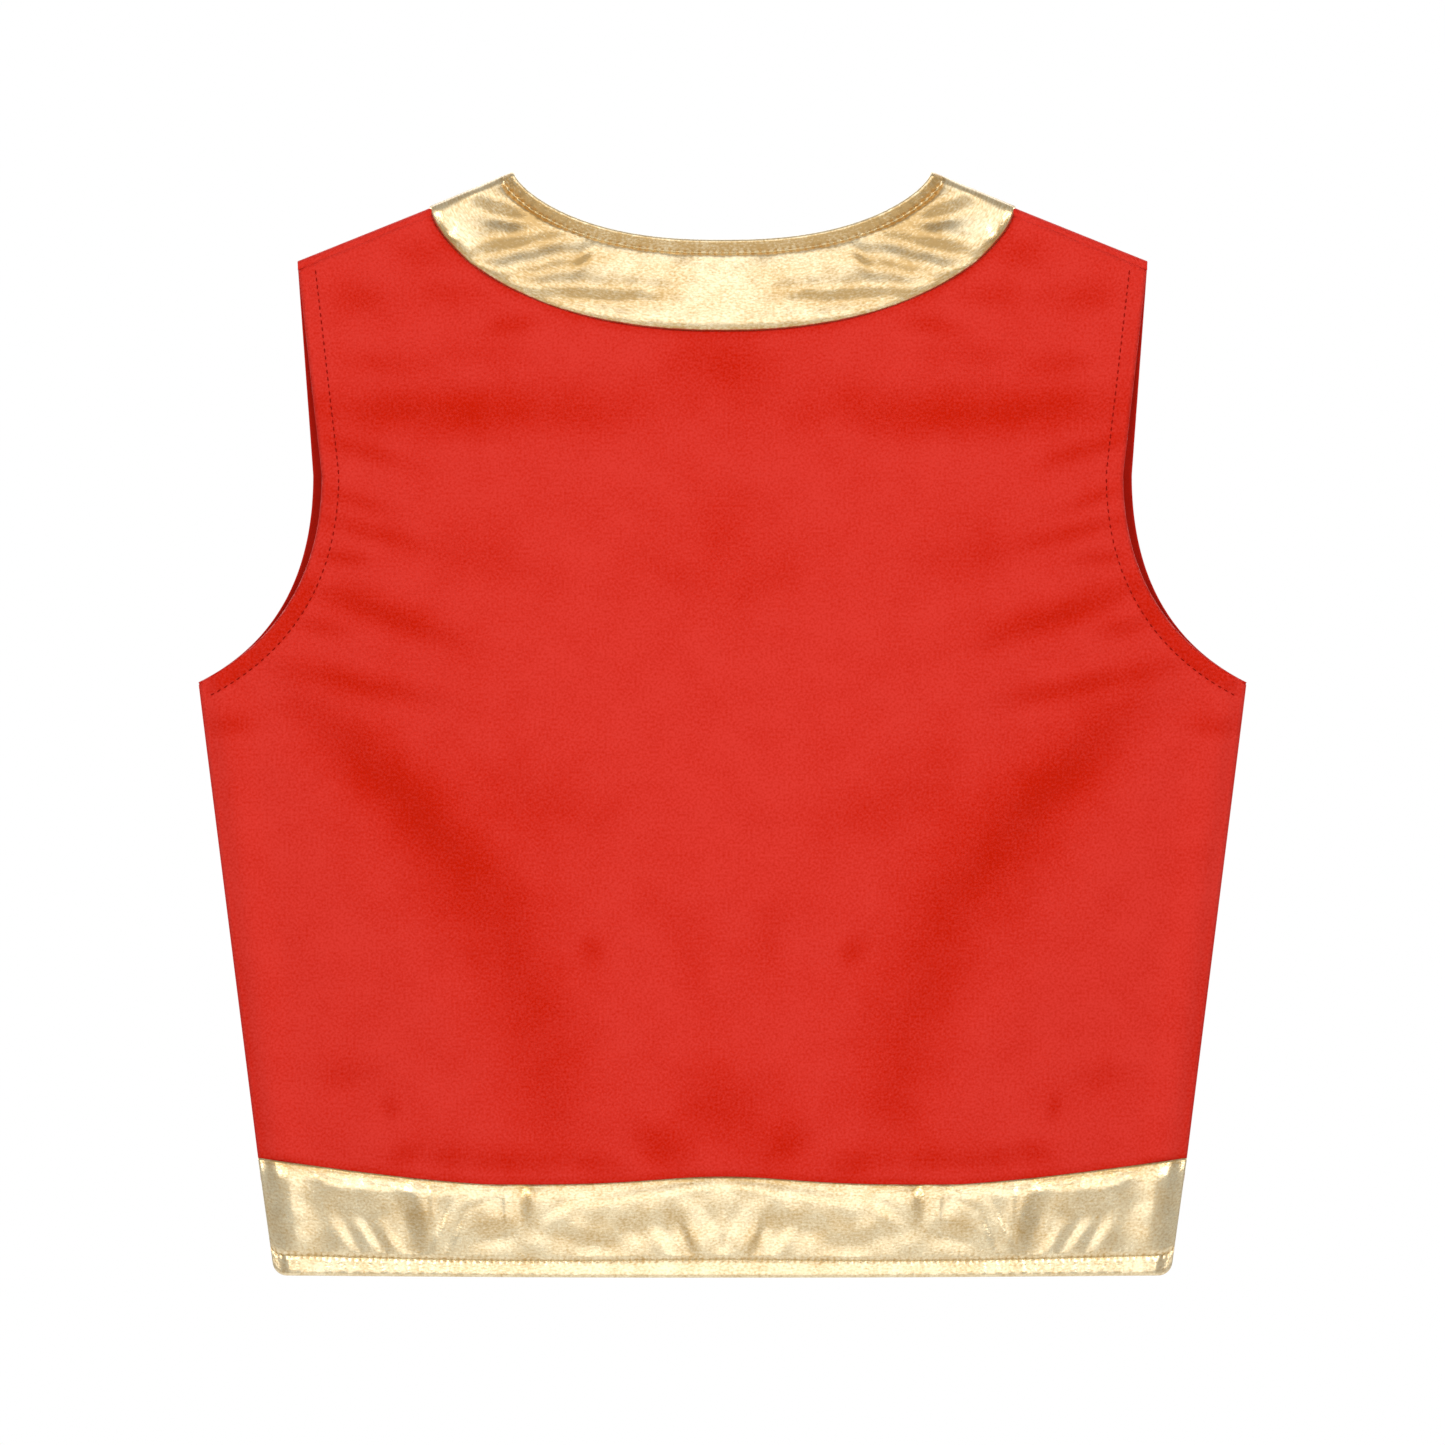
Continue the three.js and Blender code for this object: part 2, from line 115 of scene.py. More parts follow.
studio = {
    "middle": (0.0, 0.0, -0.1997),
    "cameraFar": 7.0,
    "viewWidth": 0.5241,  # the width that the camera takes in at the garment
    "sensor": 36.0,
    "clipEnd": 50.0,
    "lampPower": 4.0,  # watts per square metre of a lamp of brightness 1
    "room": 0.50,  # light from everywhere
    "lights": {
        # name: place, width and height, brightness of its face; each also stands mirrored on the other side
        "diffuser": ((0.0, 2.6, 0.50), (3.4, 2.4), 0.88),
        "top": ((0.0, 1.45, 1.45), (2.0, 0.6), 0.6),
        "leftKey": ((1.60, 1.30, 0.60), (0.6, 1.0), 4.5),
        "rightKey": ((-1.60, 1.30, 0.60), (0.6, 1.0), 4.5),
    },
    "floor": {"down": 1.05, "half": 14.0, "colour": (0.86, 0.86, 0.85, 1.0), "rough": 0.8},
}


def stand(name, thing, place):
    # a camera or light placed so that it faces the middle of the garment
    holder = bpy.data.objects.new(name, thing)
    bpy.context.scene.collection.objects.link(holder)
    holder.location = place
    holder.rotation_euler = (Vector(studio["middle"]) - Vector(place)).to_track_quat("-Z", "Y").to_euler()
    return holder


def makeCamera():
    # level with the middle, straight behind the garment; the lens makes the view as wide as the settings
    # say
    camera = bpy.data.cameras.new("camera")
    camera.sensor_width = studio["sensor"]
    camera.lens = studio["sensor"] * studio["cameraFar"] / studio["viewWidth"]
    camera.clip_end = studio["clipEnd"]
    place = Vector(studio["middle"]) + Vector((0.0, studio["cameraFar"], 0.0))
    bpy.context.scene.camera = stand("camera", camera, place)


def makeLights():
    # flat lamps behind the garment, and the same again mirrored to its front; power is brightness times
    # area
    for name, (place, size, bright) in studio["lights"].items():
        for face, way in (("Back", 1.0), ("Front", -1.0)):
            lamp = bpy.data.lights.new(name + face, "AREA")
            lamp.shape = "RECTANGLE"
            lamp.size, lamp.size_y = size
            lamp.energy = bright * studio["lampPower"] * size[0] * size[1]
            holder = stand(name + face, lamp, (place[0], place[1] * way, place[2]))
            holder.visible_camera = False


def makeRoom():
    # white where the camera looks past the garment, dimmer as light on it
    world = bpy.data.worlds.new("studio")
    bpy.context.scene.world = world
    world.use_nodes = True
    nodes, links = world.node_tree.nodes, world.node_tree.links
    background = nodes["Background"]
    background.inputs["Color"].default_value = (1.0, 1.0, 1.0, 1.0)
    rays = nodes.new("ShaderNodeLightPath")
    strength = nodes.new("ShaderNodeMapRange")
    strength.inputs["To Min"].default_value = studio["room"]
    strength.inputs["To Max"].default_value = 1.0
    links.new(rays.outputs["Is Camera Ray"], strength.inputs["Value"])
    links.new(strength.outputs["Result"], background.inputs["Strength"])
    bpy.context.scene.view_settings.view_transform = "Standard"


def makeFloor():
    # one square, level, below the garment
    floorStyle = studio["floor"]
    half, down = floorStyle["half"], floorStyle["down"]
    mesh = bpy.data.meshes.new("floor")
    corners = [(x * half, y * half, -down) for x, y in ((-1, -1), (1, -1), (1, 1), (-1, 1))]
    mesh.from_pydata(corners, [], [(0, 1, 2, 3)])
    material = bpy.data.materials.new("floor")
    material.use_nodes = True
    paint = material.node_tree.nodes["Principled BSDF"]
    paint.inputs["Base Color"].default_value = floorStyle["colour"]
    paint.inputs["Roughness"].default_value = floorStyle["rough"]
    mesh.materials.append(material)
    floor = bpy.data.objects.new("floor", mesh)
    bpy.context.scene.collection.objects.link(floor)


makeCamera()
makeLights()
makeRoom()
makeFloor()
print("camera, lights and floor set")


def mix(a, b, t):
    # from a at t = 0 to b at t = 1 in a straight line
    return a + (b - a) * t


def smooth(t):
    # 0 to 1 with level ends: three t squared less two t cubed
    t = np.clip(t, 0.0, 1.0)
    return t * t * (3.0 - 2.0 * t)


def shoulderZ(x):
    # a straight slope down from the neck point
    return -shoulderSlope * (np.abs(x) - neckHalf)


def sideX(z):
    # straight from the underarm in to the hem, and upright above the underarm
    down = np.clip((-z - outline["underarmDrop"]) / (length - outline["underarmDrop"]), 0.0, 1.0)
    return mix(chestHalf, outline["hemHalf"], down)


def hemSeamZ(face, x):
    # level, then up to the side as a power of 1.3, and on the back a low Gaussian peak in the middle
    level = outline["hemSeamLevel"]
    rise = np.clip((np.abs(x) - level) / (sideX(hemSeamLow) - level), 0.0, 1.0)
    height = outline["hemSeamPeak"] if face == "back" else 0.0
    peak = height * np.exp(-((x / outline["hemSeamPeakWide"]) ** 2))
    return hemSeamLow + outline["hemSeamRise"] * rise**1.3 + peak


hemSeamEnd = float(sideX(hemSeamLow + outline["hemSeamRise"]))


def hemFoldZ(x):
    # level along the hem, with a quarter circle at each corner
    past = np.clip(np.abs(x) - (outline["hemHalf"] - outline["hemCorner"]), 0.0, outline["hemCorner"])
    return outline["hemCorner"] - length - np.sqrt(outline["hemCorner"] ** 2 - past**2)


class Line:
    # a drawn line as many short straight steps, read by its share of the whole length
    def __init__(self, points):
        self.points = np.asarray(points, float)
        steps = np.hypot(*np.diff(self.points, axis=0).T)
        self.run = np.concatenate([[0.0], np.cumsum(steps)])
        self.total = self.run[-1]
        self.slopes = np.gradient(self.points, self.run, axis=0)
        self.slopes /= np.hypot(*self.slopes.T)[:, None]

    def at(self, share, inset=0.0):
        # the place that far along, moved square to the line by the inset
        far = np.clip(share, 0.0, 1.0) * self.total
        x, z = (np.interp(far, self.run, self.points[:, k]) for k in (0, 1))
        ax, az = (np.interp(far, self.run, self.slopes[:, k]) for k in (0, 1))
        return x - az * inset, z + ax * inset

    def near(self, x, z):
        # distance from each place to the line, and how far along the line its nearest point is
        flat = np.stack([np.ravel(x), np.ravel(z)], axis=1)
        apart = flat[:, None] - self.points[None]
        gap = np.hypot(apart[..., 0], apart[..., 1])
        best = gap.argmin(axis=1)
        return gap[np.arange(len(flat)), best].reshape(np.shape(x)), self.run[best].reshape(np.shape(x))


def armholeLine(face):
    # up from the underarm: a quadratic curve that turns upright, then a straight stretch to the shoulder
    # tip
    bendX = tipHalf - outline["armholeHollow"][face]
    low = np.array([chestHalf, -outline["underarmDrop"]])
    turn = np.array([bendX, 0.5 * (chestHalf - bendX) - outline["underarmDrop"]])
    bend = np.array([bendX, -outline["armholeBend"]])
    t = np.linspace(0.0, 1.0, 90)[:, None]
    curve = (1 - t) ** 2 * low + 2 * t * (1 - t) * turn + t**2 * bend
    tip = np.array([tipHalf, -outline["shoulderDrop"]])
    return Line(np.concatenate([curve, mix(bend, tip, np.linspace(0.0, 1.0, 80)[1:, None])]))


def frontEdgeLine():
    # down from the neck point: a slant, an arc that turns it upright, then straight to the hem band
    neckPoint, vee = np.array([neckHalf, 0.0]), np.array([outline["frontGap"] / 2, -outline["veeDrop"]])
    slant = (neckPoint - vee) / np.hypot(*(neckPoint - vee))
    turn, radius = math.acos(slant[1]), outline["veeRadius"]
    reach = radius * math.tan(turn / 2)
    angles = np.linspace(math.pi - turn, math.pi, 40)
    arcX, arcZ = vee[0] + radius + radius * np.cos(angles), vee[1] - reach + radius * np.sin(angles)
    arc = np.stack([arcX, arcZ], axis=1)
    upper = mix(neckPoint, vee + slant * reach, np.linspace(0.0, 1.0, 90)[:, None])
    lower = mix(arc[-1], np.array([vee[0], hemSeamLow]), np.linspace(0.0, 1.0, 110)[1:, None])
    return Line(np.concatenate([upper[:-1], arc, lower]))


armholes = {face: armholeLine(face) for face in ("front", "back")}
frontEdge = frontEdgeLine()
cornerX = float(neckHalf - frontEdge.slopes[0][1] * bandWidth)
neckCorner = (cornerX, float(shoulderZ(cornerX)))


def neckBandPlace(share, across):
    # share -1 to 1 from the wearer's right to left, across 0 at the seam to 1 at the folded edge
    s = np.abs(share)
    edgeX, edgeZ = neckHalf * share, -outline["neckDrop"] * (1 - s**2.4) ** 0.7
    low = -outline["neckDrop"] - bandWidth
    seamX, seamZ = neckCorner[0] * share, neckCorner[1] + (low - neckCorner[1]) * (1 - s**2.2) ** 0.62
    return mix(seamX, edgeX, across), mix(seamZ, edgeZ, across)


def frontBandPlace(share, across):
    # share 0 to 1 from the neck point to the hem band, across 0 at the seam to 1 at the folded edge
    edgeX, edgeZ = frontEdge.at(share)
    seamX, seamZ = frontEdge.at(share, bandWidth)
    return mix(seamX, edgeX, across), mix(seamZ, edgeZ, across)


def hemPlace(face, fromX):
    # share 0 at fromX to 1 at the side, across 0 at the seam to 1 at the fold: straight between the two
    # lines
    def place(share, across):
        s, way = np.abs(share), np.where(share < 0, -1.0, 1.0)
        seamX, foldX = mix(fromX, hemSeamEnd, s), mix(fromX, outline["hemHalf"], s)
        x = mix(seamX, foldX, across) * way
        return x, mix(hemSeamZ(face, seamX), hemFoldZ(foldX), across)

    return place


neckSeamLine = Line(np.stack(neckBandPlace(np.linspace(-1, 1, 220), np.zeros(220)), axis=1))
frontSeamLine = Line(np.stack(frontBandPlace(np.linspace(0, 1, 220), np.zeros(220)), axis=1))


def patch(u, v, low, top, start, end):
    # four edges blended: both pairs of opposite edges mixed across, less the mix of the four corners
    lowU, topU, startV, endV = low(u), top(u), start(v), end(v)
    zero, one = np.zeros(1), np.ones(1)
    c = [start(zero), end(zero), start(one), end(one)]
    out = []
    for k in (0, 1):
        corners = mix(mix(c[0][k], c[1][k], u), mix(c[2][k], c[3][k], u), v)
        out.append(mix(startV[k], endV[k], u) + mix(lowU[k], topU[k], v) - corners)
    return out


def eased(q, width):
    # 0 for q well below 0 and q well above it, with a hyperbola between them
    return (q + np.hypot(q, width)) / 2


def surfaceY(face, x, z):
    # the front is flat; the back swells out with depth below the shoulder and with distance from the side
    # seam; both run down to the seam plane over the last few millimetres beside the side seam
    fromSide = sideX(z) - np.abs(x)
    belowArm = smooth((-z - outline["underarmDrop"] + depths["meetStart"]) / depths["meetRun"])
    meet = mix(1.0, smooth(fromSide / depths["sideMeet"]), belowArm)
    off = mix(depths["meetHalfGap"], depths["seamHalfGap"], meet)
    if face == "front":
        return -off
    slope = shoulderSlope * eased(np.abs(x) - neckHalf, depths["neckEase"])
    down = eased(-z - slope, depths["shoulderEase"])
    share = np.clip(fromSide / depths["backSideRun"], 0.0, 1.0)
    return off + depths["backDepth"] * (1 - np.exp(-down / depths["backRise"])) * np.sin(np.pi / 2 * share)


def faded(x, z, marks):
    # for each mark: the distance across its line, and its amount faded by a Gaussian both along and across
    for atX, atZ, angle, halfLong, halfWide, amount in marks:
        c, s = math.cos(math.radians(angle)), math.sin(math.radians(angle))
        a = (np.abs(x) - atX) * c + (z - atZ) * s
        b = -(np.abs(x) - atX) * s + (z - atZ) * c
        yield b, amount * np.exp(-((a / halfLong) ** 2) - (b / halfWide) ** 2)


def leans(x, z, marks):
    # the cloth slopes by the mark's amount along its middle and eases back beside it
    return sum(b * weight for b, weight in faded(x, z, marks))


def ridges(x, z, marks):
    # the cloth rises by the mark's amount along its middle
    return sum(weight for _, weight in faded(x, z, marks))


def sideRoll(face, x, z):
    # the cloth rounds over towards the side seam, more on the back: a low Gaussian swell beside it
    fromSide = sideX(z) - np.abs(x)
    below = smooth((-z - outline["underarmDrop"] + roll["start"]) / roll["run"])
    return roll[face] * below * np.exp(-(((fromSide - roll["fromSide"]) / roll["wide"]) ** 2))


def ripple(x, z, wave, seed, count=14):
    # a sum of sine waves of random direction and phase, with lengths near the given one
    rng = np.random.default_rng(seed)
    out = np.zeros(np.shape(x))
    angles, phases = rng.uniform(0, np.pi, count), rng.uniform(0, 6.3, count)
    stretches = rng.uniform(0.7, 1.5, count)
    for angle, phase, stretch in zip(angles, phases, stretches):
        k = 2 * np.pi / (wave * stretch)
        out += np.sin(k * (x * np.cos(angle) + z * np.sin(angle)) + phase)
    return out / math.sqrt(count / 2)


def fillMesh(name, points, faces):
    # a new mesh from an array of points in millimetres and arrays of faces with four or three corners each
    mesh = bpy.data.meshes.new(name)
    sizes = np.concatenate([np.full(len(group), group.shape[1]) for group in faces])
    corners = np.concatenate([group.ravel() for group in faces])
    mesh.vertices.add(len(points))
    mesh.vertices.foreach_set("co", (points * mm).astype(np.float32).ravel())
    mesh.loops.add(len(corners))
    mesh.loops.foreach_set("vertex_index", corners.astype(np.int32))
    mesh.polygons.add(len(sizes))
    mesh.polygons.foreach_set("loop_start", (np.cumsum(sizes) - sizes).astype(np.int32))
    mesh.polygons.foreach_set("use_smooth", np.ones(len(sizes), bool))
    mesh.update(calc_edges=True)
    mesh.validate()
    piece = bpy.data.objects.new(name, mesh)
    bpy.context.scene.collection.objects.link(piece)
    return piece


cuts = {}  # each sheet's flat width, length and area, by its name
wayOut = {"back": 1.0, "front": -1.0}


def cutSize(flat):
    # the flat cut's width, length and area: its grid's cells, each half the cross product of its diagonals
    a, b = flat[1:, 1:] - flat[:-1, :-1], flat[:-1, 1:] - flat[1:, :-1]
    area = np.abs(np.sum(a[..., 0] * b[..., 1] - a[..., 1] * b[..., 0])) / 2
    return np.ptp(flat[..., 0]), np.ptp(flat[..., 1]), area


def shell(name, middle, thick, flat, dull=0.0, shade=None):
    # a closed sheet: the middle surface moved half the thickness along its normals both ways, joined
    # round the rim; its good side takes the given share of the wrong side's colour, painted shade on a
    # facing, and the shade array, painted shade and painted sheen, sets how deep its colour is from place
    # to place
    cuts[name] = cutSize(flat)
    rows, columns = middle.shape[:2]
    normal = np.cross(np.gradient(middle, axis=0), np.gradient(middle, axis=1))
    normal /= np.maximum(np.linalg.norm(normal, axis=2, keepdims=True), 1e-9)
    outer, inner = middle + normal * thick / 2, middle - normal * thick / 2
    points = np.concatenate([outer.reshape(-1, 3), inner.reshape(-1, 3)])
    at = np.arange(rows * columns).reshape(rows, columns)
    top = np.stack([at[:-1, :-1], at[1:, :-1], at[1:, 1:], at[:-1, 1:]], axis=-1).reshape(-1, 4)
    under = top[:, ::-1] + at.size
    ring = np.concatenate([at[0, :-1], at[:-1, -1], at[-1, :0:-1], at[:0:-1, 0]])
    rim = np.stack([ring, np.roll(ring, -1), np.roll(ring, -1) + at.size, ring + at.size], axis=-1)
    piece = fillMesh(name, points, [np.concatenate([top, under, rim])])
    # the wrong side's colour inside, and a given share of it outside: painted shade on a facing
    wrongAndShade = np.concatenate([np.full(at.size, dull), np.full(at.size, 1.0)])
    shades = np.tile(np.zeros(at.size) if shade is None else shade.ravel(), 2)
    for field, values in (("wrongSideAndShade", wrongAndShade), ("paintedShade", shades)):
        made = piece.data.attributes.new(field, "FLOAT", "POINT")
        made.data.foreach_set("value", values.astype(np.float32))
    uv = piece.data.uv_layers.new(name="cloth")
    corner = np.zeros(len(piece.data.loops), np.int32)
    piece.data.loops.foreach_get("vertex_index", corner)
    flatUv = np.tile(flat.reshape(-1, 2) * mm, (2, 1))
    uv.data.foreach_set("uv", flatUv[corner].astype(np.float32).ravel())
    return piece


def outwardOrder(middle, face):
    # the order of the grid's rows that makes its normals point to the given face: the cross product of
    # two edges of its first cell points to +Y for the back
    normal = np.cross(middle[1, 0] - middle[0, 0], middle[0, 1] - middle[0, 0])
    return slice(None) if normal[1] * wayOut[face] > 0 else slice(None, None, -1)


def mirrorX(grid):
    # the same places on the wearer's other side
    flipped = grid.copy()
    flipped[..., 0] *= -1
    return flipped


def stitchMesh(name, middle, along, out, size):
    # one six-sided spindle per stitch, bowed so that both its ends dip into the cloth
    along = along / np.linalg.norm(along, axis=1, keepdims=True)
    out = out - along * np.sum(out * along, axis=1, keepdims=True)
    out /= np.linalg.norm(out, axis=1, keepdims=True)
    side = np.cross(along, out)
    sides, rings = 6, 5
    t = np.linspace(-1.0, 1.0, rings + 2)[1:-1]
    thick = np.sqrt(1 - t**2) * 0.7 + 0.3 * (1 - np.abs(t))
    angle = np.arange(sides) * 2 * np.pi / sides
    bow = np.repeat(size["bow"] * (1 - t**2) - size["sink"], sides)
    tipA, tipC = np.array([-0.5, 0.5]) * size["long"], np.full(2, -size["sink"])
    a = np.concatenate([np.repeat(t * size["long"] / 2, sides), tipA])
    b = np.concatenate([np.outer(thick, np.cos(angle)).ravel() * size["wide"] / 2, [0.0, 0.0]])
    c = np.concatenate([np.outer(thick, np.sin(angle)).ravel() * size["wide"] / 2 + bow, tipC])
    axes = ((along, a), (side, b), (out, c))
    spots = middle[:, None] + sum(vectors[:, None] * part[None, :, None] for vectors, part in axes)
    at = np.arange(rings * sides).reshape(rings, sides)
    turn = np.roll(at, -1, axis=1)
    quads = np.stack([at[:-1], turn[:-1], turn[1:], at[1:]], axis=-1).reshape(-1, 4)
    first = np.stack([turn[0], at[0], np.full(sides, rings * sides)], axis=-1)
    last = np.stack([at[-1], turn[-1], np.full(sides, rings * sides + 1)], axis=-1)
    shift = (np.arange(len(middle)) * (rings * sides + 2))[:, None, None]
    tips = np.concatenate([first, last])
    faces = [(quads[None] + shift).reshape(-1, 4), (tips[None] + shift).reshape(-1, 3)]
    return fillMesh(name, spots.reshape(-1, 3), faces)


def stitchesAlong(name, spotAt, middles, outY, size):
    # stitches centred at the given distances along a row, each pointing along it
    spots = spotAt(middles)
    along = spotAt(middles + 0.3) - spotAt(middles - 0.3)
    out = np.tile([0.0, outY, 0.0], (len(middles), 1))
    return stitchMesh(name, spots, along, out, size)


panelCut = {
    "thick": 0.5,
    "allowance": 8.0,  # how far the panels reach under the bands
    "tuckEnd": 1.2,  # and how far at the shoulder seam
    "backGrid": (210, 200),
    "frontGrid": (110, 210),
    "shoulderShare": 0.3,  # of the back's top edge, each side
}
# the front turns over the shoulder and meets the back this far below
shoulderWrap = {"back": 2.75, "rise": 2.1, "riseRun": 26.0, "turns": 9, "downRows": 3, "tuck": 0.25}
# grooves pressed in by the seams and the armholes' topstitching: depth and width
panelEdges = {
    "stitchInset": 6.0,
    "stitchGroove": (0.30, 1.1),
    "rim": (0.45, 1.2),
    "seamGroove": (0.55, 1.3),
    "tick": {"height": 0.16, "from": 4.5, "wide": 3.5, "pitch": 9.0},
    "underBand": 0.15,  # share of the folds left where a band covers the panel
}

backDrape = {
    "sweeps": [
        # x, z, angle, half length, half width, depth: where the satin leans over,
        # with painted shade where it loses its shine
        (100, -87, 2, 42, 7.5, 1.05),
        (48, -84, 2, 44, 8, 0.30),
        (0, -70, 0, 17, 9, 0.75),
        (131, -101, 18, 15, 3.2, 0.75),
        (133, -119, 20, 12, 3.0, 0.60),
        (126, -131, 15, 20, 3.2, 0.60),
        (137, -140, 5, 9, 2.6, 0.60),
        (90, -138, 10, 20, 10, 0.35),
        (121, -161, 20, 24, 5.5, 1.05),
        (145, -165, 10, 9, 3.5, 0.60),
        (130, -186, 12, 26, 4.2, 0.80),
        (120, -222, 45, 34, 11, 1.10),
        (92, -255, 52, 36, 20, 0.60),
        (70, -300, 62, 30, 16, 0.50),
        (64, -336, 80, 18, 14, 0.40),
        (47, -282, 60, 5, 4, 0.60),
        (0, -131, 90, 15, 12, 0.38),
        (18, -146, 35, 18, 7, 0.25),
        (64, -226, 20, 26, 13, 0.35),
        (14, -280, 64, 24, 8, 0.22),
        (0, -338, 0, 17, 14, 0.65),
        (22, -352, 30, 10, 7, 0.75),
        (137, -327, 0, 8, 6, 0.45),
        (120, -339, 80, 4, 3, 0.50),
        (46, -359, 10, 12, 4.5, 0.50),
        (78, -358, 0, 16, 4.5, 0.60),
        (100, -357, -8, 6, 4.0, 0.50),
        (113, -355, -20, 7, 4.5, 0.60),
        (178, -201, 0, 9, 4, 0.55),
        (131, -46, 0, 12, 5, 0.50),
        (98, -45, 0, 10, 4, 0.50),
        (108, -29, 10, 10, 5, 0.45),
        (76, -56, -8, 10, 3, 0.55),
        (121, -70, 5, 12, 4, 0.45),
        (90, -66, 0, 14, 4, 0.30),
    ],
    "lean": 0.26,  # slope of a sweep of depth 1
    "pucker": {"height": 0.22, "pitch": 9.5, "reach": 10.0},
    "waviness": 0.16,
}

frontDrape = {
    "sweeps": [
        (122, -92, 74, 40, 9, 0.70),
        (134, -128, 16, 18, 4, 0.70),
        (128, -158, 24, 20, 5, 0.90),
        (140, -186, 12, 24, 4, 0.70),
        (100, -196, 74, 54, 12, 0.70),
        (130, -236, 60, 44, 11, 0.90),
        (74, -262, 82, 48, 10, 0.60),
        (112, -300, 76, 40, 12, 0.60),
        (60, -330, 84, 26, 9, 0.60),
        (84, -357, 0, 16, 4.5, 0.50),
        (128, -353, -10, 12, 4.5, 0.55),
        (176, -202, 0, 9, 4, 0.50),
        (104, -40, 60, 16, 5, 0.50),
        (132, -60, 80, 16, 5, 0.50),
    ],
    "lean": 0.24,
    "pucker": {"height": 0.20, "pitch": 9.5, "reach": 10.0},
    "waviness": 0.20,
}


def panelLift(face, x, z, drape):
    # sweeps, a faint unevenness, puckers that fade away from the armhole's stitching, and a groove at
    # each seam
    lift = drape["lean"] * leans(x, z, drape["sweeps"]) + sideRoll(face, x, z)
    lift += drape["waviness"] * ripple(np.abs(x), z, 34.0, 5) * smooth((sideX(z) - np.abs(x)) / 25.0)
    gap, along = armholes[face].near(np.abs(x), z)
    pucker = drape["pucker"]
    fade = np.exp(-((gap / pucker["reach"]) ** 2)) * smooth((z + 1.06 * length) / 40.0)
    wobble = 1.9 * np.sin(along / 17.0) + 1.1 * np.sin(along / 7.3 + 1.0)
    lift += pucker["height"] * fade * np.cos(2 * np.pi * along / pucker["pitch"] + wobble)
    grooveDeep, grooveWide = panelEdges["stitchGroove"]
    lift -= grooveDeep * np.exp(-(((gap - panelEdges["stitchInset"]) / grooveWide) ** 2))
    rimDeep, rimWide = panelEdges["rim"]
    lift -= rimDeep * np.exp(-gap / rimWide)
    seamDeep, seamWide = panelEdges["seamGroove"]
    seam = neckSeamLine if face == "back" else frontSeamLine
    seamGap, seamAlong = seam.near(x if face == "back" else np.abs(x), z)
    lift -= seamDeep * np.exp(-((seamGap / seamWide) ** 2))
    tick = panelEdges["tick"]
    ticks = np.cos(2 * np.pi * seamAlong / tick["pitch"] + np.sin(seamAlong / 13.0))
    lift += tick["height"] * np.exp(-(((seamGap - tick["from"]) / tick["wide"]) ** 2)) * ticks
    hemGap = z - hemSeamZ(face, x)
    lift -= seamDeep * np.exp(-((hemGap / seamWide) ** 2))
    return lift * mix(1.0, panelEdges["underBand"], smooth(-hemGap / 1.5 + 0.3))


def paintedShadeShare(face, x, z, drape):
    # painted shade and sheen, from 0 where the satin is painted shining to 1 where it is painted in shade:
    # the sweeps, the turned edge of the armhole, the low part of the side edge and a line along each seam,
    # added up and levelled off by an exponential
    total = ridges(x, z, drape["sweeps"])
    gap, _ = armholes[face].near(np.abs(x), z)
    turned = smooth((6.6 - gap) / 1.2) * (1 - 0.5 * np.exp(-gap / 0.7))
    lowDown = mix(0.12, 0.95, smooth((-z - 138.0) / 22.0))
    total += turned * lowDown * smooth((chestHalf - 1.0 - np.abs(x)) / 8.0)
    total += 0.35 * smooth((6.0 - sideX(z) + np.abs(x)) / 5.0) * smooth((-z - 250.0) / 60.0)
    seam = neckSeamLine if face == "back" else frontSeamLine
    seamGap, _ = seam.near(x if face == "back" else np.abs(x), z)
    total += 0.55 * np.exp(-((seamGap / 2.2) ** 2)) + 0.7 * np.exp(-(((z - hemSeamZ(face, x)) / 1.6) ** 2))
    return 1.0 - np.exp(-1.5 * total)


def outerSide(face, lowZ, armTop):
    # up the side seam for half the way, then round the armhole to the given share of it
    def edge(v):
        z = mix(lowZ, -outline["underarmDrop"], np.clip(2 * v, 0, 1))
        onArm = np.clip(2 * v - 1, 0, 1)
        armX, armZ = armholes[face].at(onArm * armTop)
        return np.where(v > 0.5, armX, sideX(z)), np.where(v > 0.5, armZ, z)

    return edge


